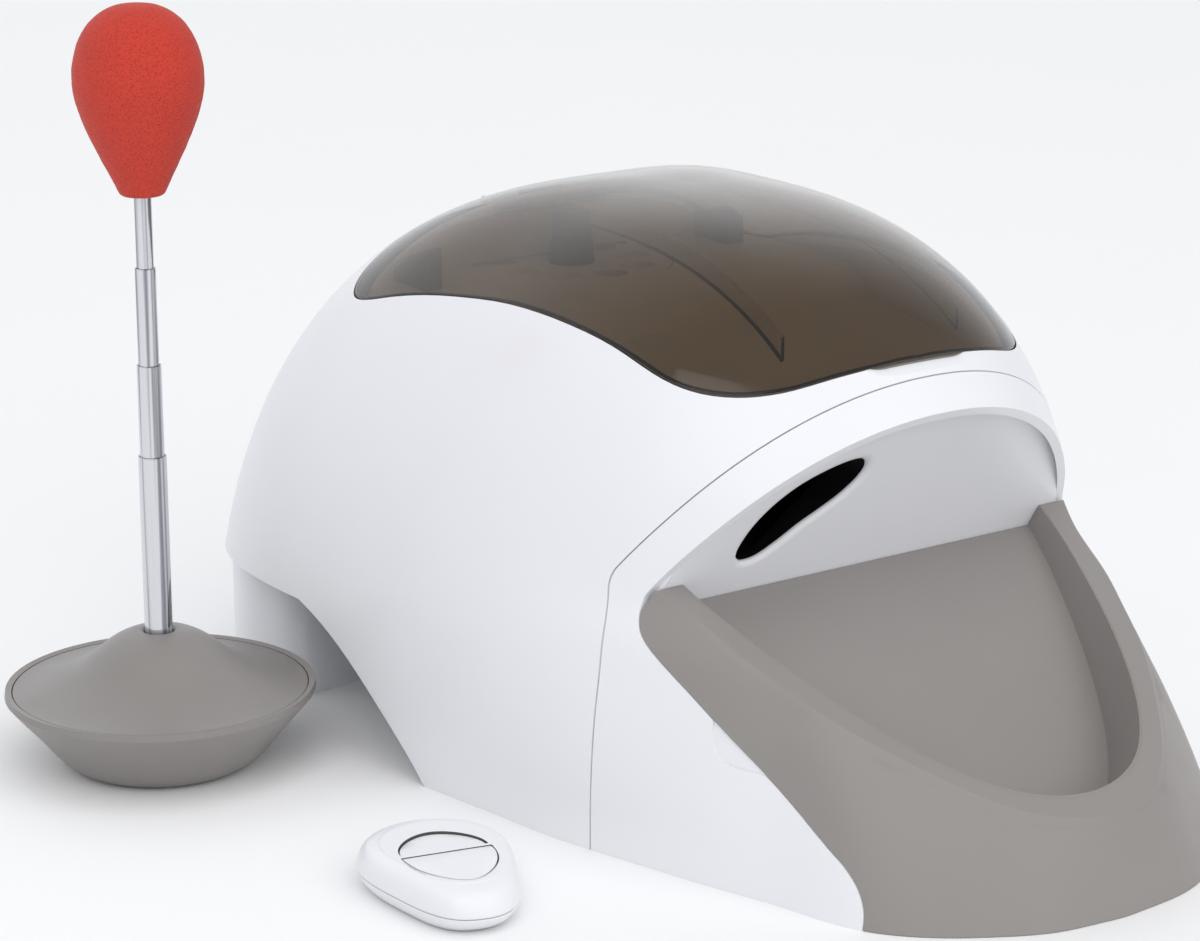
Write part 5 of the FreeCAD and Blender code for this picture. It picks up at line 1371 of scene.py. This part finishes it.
@dataclass
class Remote:
    """White two-key remote."""

    place: Point = (-204.0, -4.0, 0.0)
    turn: float = -13.0
    half_width: float = 19.6        # room of the keys: half its width and its two lengths
    near: float = 32.8
    far: float = 21.0
    room_low: float = 10.5
    key_low: float = 16.0
    dip: float = 0.35
    step: float = 0.65              # the drop key's fall towards the gap between the keys
    gap_y: float = -1.8
    step_run: float = 8.0

    def own(self, spot: Vector) -> Vector:
        """Turn a point of the set into the remote's own coordinates, millimetres."""
        return Matrix.Rotation(math.radians(-self.turn), 3, "Z") @ (spot - Vector(self.place))

    def in_key_room(self, spot: Vector, _outward: float = 0.0) -> bool:
        """Tell if a point is within the part of the case that holds the keys.

        Args:
            spot: the point, millimetres.

        Returns:
            True if it is.
        """
        at = self.own(spot)
        reach = math.hypot(at.x / self.half_width, at.y / (self.far if at.y > 0 else self.near))
        return reach < 1.0 and at.z > self.room_low

    def build(self) -> None:
        """Dress the remote."""
        dressed("remote_bottom", Slot.SHELL, "remote", [Edging(0.7)])
        top = dressed("remote_top", Slot.SHELL, "remote",
                      [Edging(0.3, self.in_key_room), Edging(0.5)])
        # the walls of the key openings take the grey finish: painted shade, so the gaps round the
        # keys read as dark lines
        top.data.materials.append(PAINTS.get(Slot.GREY))
        for face in top.data.polygons:
            if abs(face.normal.z) < 0.4 and self.in_key_room(face.center / MM):
                face.material_index = 1
        for node, way in (("remote_stay_key", 1.0), ("remote_drop_key", -1.0)):
            self.dish(dressed(node, Slot.SHELL, node, [Edging(0.8)]), way)
        painted({"remote_board": Slot.BOARD, "coin_cell": Slot.STEEL})
        dressed("coin_cover", Slot.SHELL, "remote", [Edging(0.4)])

    def dish(self, key: bpy.types.Object, way: float) -> None:
        """Let a key's top fall away towards its outer end, as a thumb wants it.

        Args:
            key: the key's piece.
            way: 1 for the key towards the remote's wide end, -1 for the other.
        """
        form = bmesh.new()
        form.from_mesh(key.data)
        bmesh.ops.triangulate(form, faces=[f for f in form.faces if f.normal.z > 0.9])
        long = {e for f in form.faces if f.normal.z > 0.9 for e in f.edges
                if e.calc_length() > 3 * MM}
        bmesh.ops.subdivide_edges(form, edges=list(long), cuts=3, use_grid_fill=True)
        for vertex in form.verts:
            at = self.own(vertex.co / MM)
            if at.z > self.key_low:
                share = max(0.0, min(1.0, at.y * way / (self.far if way > 0 else self.near)))
                fall = self.dip * share ** 1.5
                if way < 0:
                    near_gap = max(0.0, 1.0 + (at.y - self.gap_y) / self.step_run)
                    fall += self.step * near_gap ** 1.6
                vertex.co.z -= fall * MM
        form.to_mesh(key.data)
        form.free()
        smooth(key, 35.0)


# ---- studio --------------------------------------------------------------------------------
@dataclass
class Studio:
    """Pale floor, soft lights and the camera.  Its lengths are metres, its angles degrees."""

    camera_place: Point = (-0.87110, -1.04119, 0.52546)
    camera_turn: Point = (74.0, 0.0, -35.5506)
    focal: float = 102.0
    sensor: float = 36.0
    sun_power: float = 1.45
    sun_width: float = 80.0
    sun_turn: Point = (36.0, -3.0, 0.0)
    room: Flat = (0.5, 1.15)        # light of the room, in front of the set and behind it
    reach: float = 8.0

    def hang(self, name: str, data: bpy.types.ID, place: Point, turn: Sequence[float],
             mirrored: bool = True) -> bpy.types.Object:
        """Put a light or the camera in its place.

        Args:
            name: name of the object.
            data: the light or camera.
            place: where it hangs, metres.
            turn: its turns round X, Y and Z, radians.
            mirrored: True if glossy pieces show it.

        Returns:
            The object.
        """
        holder = bpy.data.objects.new(name, data)
        holder.location = place
        holder.rotation_euler = turn
        holder.visible_glossy = mirrored
        bpy.context.scene.collection.objects.link(holder)
        return holder

    def build(self) -> None:
        """Set up floor, lights, world and camera."""
        self.floor()
        self.softbox("key", (-1.9, -1.0, 1.9), (0.0, 0.05, 0.1), 2.0, 10.0, True)
        self.softbox("front", (0.3, -2.4, 0.9), (0.0, 0.0, 0.1), 1.8, 6.5, False)
        sky = bpy.data.lights.new("wide_sky", "SUN")
        sky.energy = self.sun_power
        sky.angle = math.radians(self.sun_width)
        self.hang("wide_sky", sky, (0, 0, 0), [math.radians(a) for a in self.sun_turn], False)
        world = bpy.data.worlds.new("pale_room")
        world.use_nodes = True
        tree = world.node_tree
        way = add(tree, "ShaderNodeTexCoord").outputs["Generated"]
        parts = add(tree, "ShaderNodeSeparateXYZ", None, {0: way})
        rear = add(tree, "ShaderNodeMapRange", {1: 0.0, 2: 0.9, 3: self.room[0], 4: self.room[1]},
                   {0: parts.outputs[1]}, interpolation_type="SMOOTHSTEP")
        wire(tree, tree.nodes["Background"], {"Color": linear("#f6f8fc")},
             {"Strength": rear.outputs[0]})
        bpy.context.scene.world = world
        bpy.context.scene.view_settings.view_transform = "Standard"
        camera = bpy.data.cameras.new("camera")
        camera.sensor_width = self.sensor
        camera.lens = self.focal
        bpy.context.scene.camera = self.hang("camera", camera, self.camera_place,
                                             [math.radians(a) for a in self.camera_turn])

    def floor(self) -> None:
        """Lay a wide pale floor under the set."""
        mesh = bpy.data.meshes.new("floor")
        r = self.reach
        mesh.from_pydata([(-r, -r, 0), (r, -r, 0), (r, r, 0), (-r, r, 0)], [], [(0, 1, 2, 3)])
        floor = link(mesh, "floor")
        mesh.materials.append(
            Moulded("pale_paper", "#f4f4f4", "#f2f2f2", 0.8, 0.9, 3.0, 0.01, 400.0).make())

    def softbox(self, name: str, place: Point, aim: Point, size: float, power: float,
                mirrored: bool) -> None:
        """Hang one square soft light.

        Args:
            name: name of the light.
            place: where it hangs, metres.
            aim: point that it faces, metres.
            size: length of its side, metres.
            power: watts.
            mirrored: True if glossy pieces show it.
        """
        lamp = bpy.data.lights.new(name, "AREA")
        lamp.size = size
        lamp.energy = power
        turn = (Vector(aim) - Vector(place)).to_track_quat("-Z", "Y").to_euler()
        self.hang(name, lamp, place, turn, mirrored)


def main() -> None:
    """Build every sub-assembly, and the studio."""
    for assembly in (Studio(), Housing(), Lid(), Hopper(), Tray(), Underside(), Panel(), Wand(),
                     Remote()):
        log.info("%s", type(assembly).__name__)
        assembly.build()


if __name__ == "__main__":
    main()
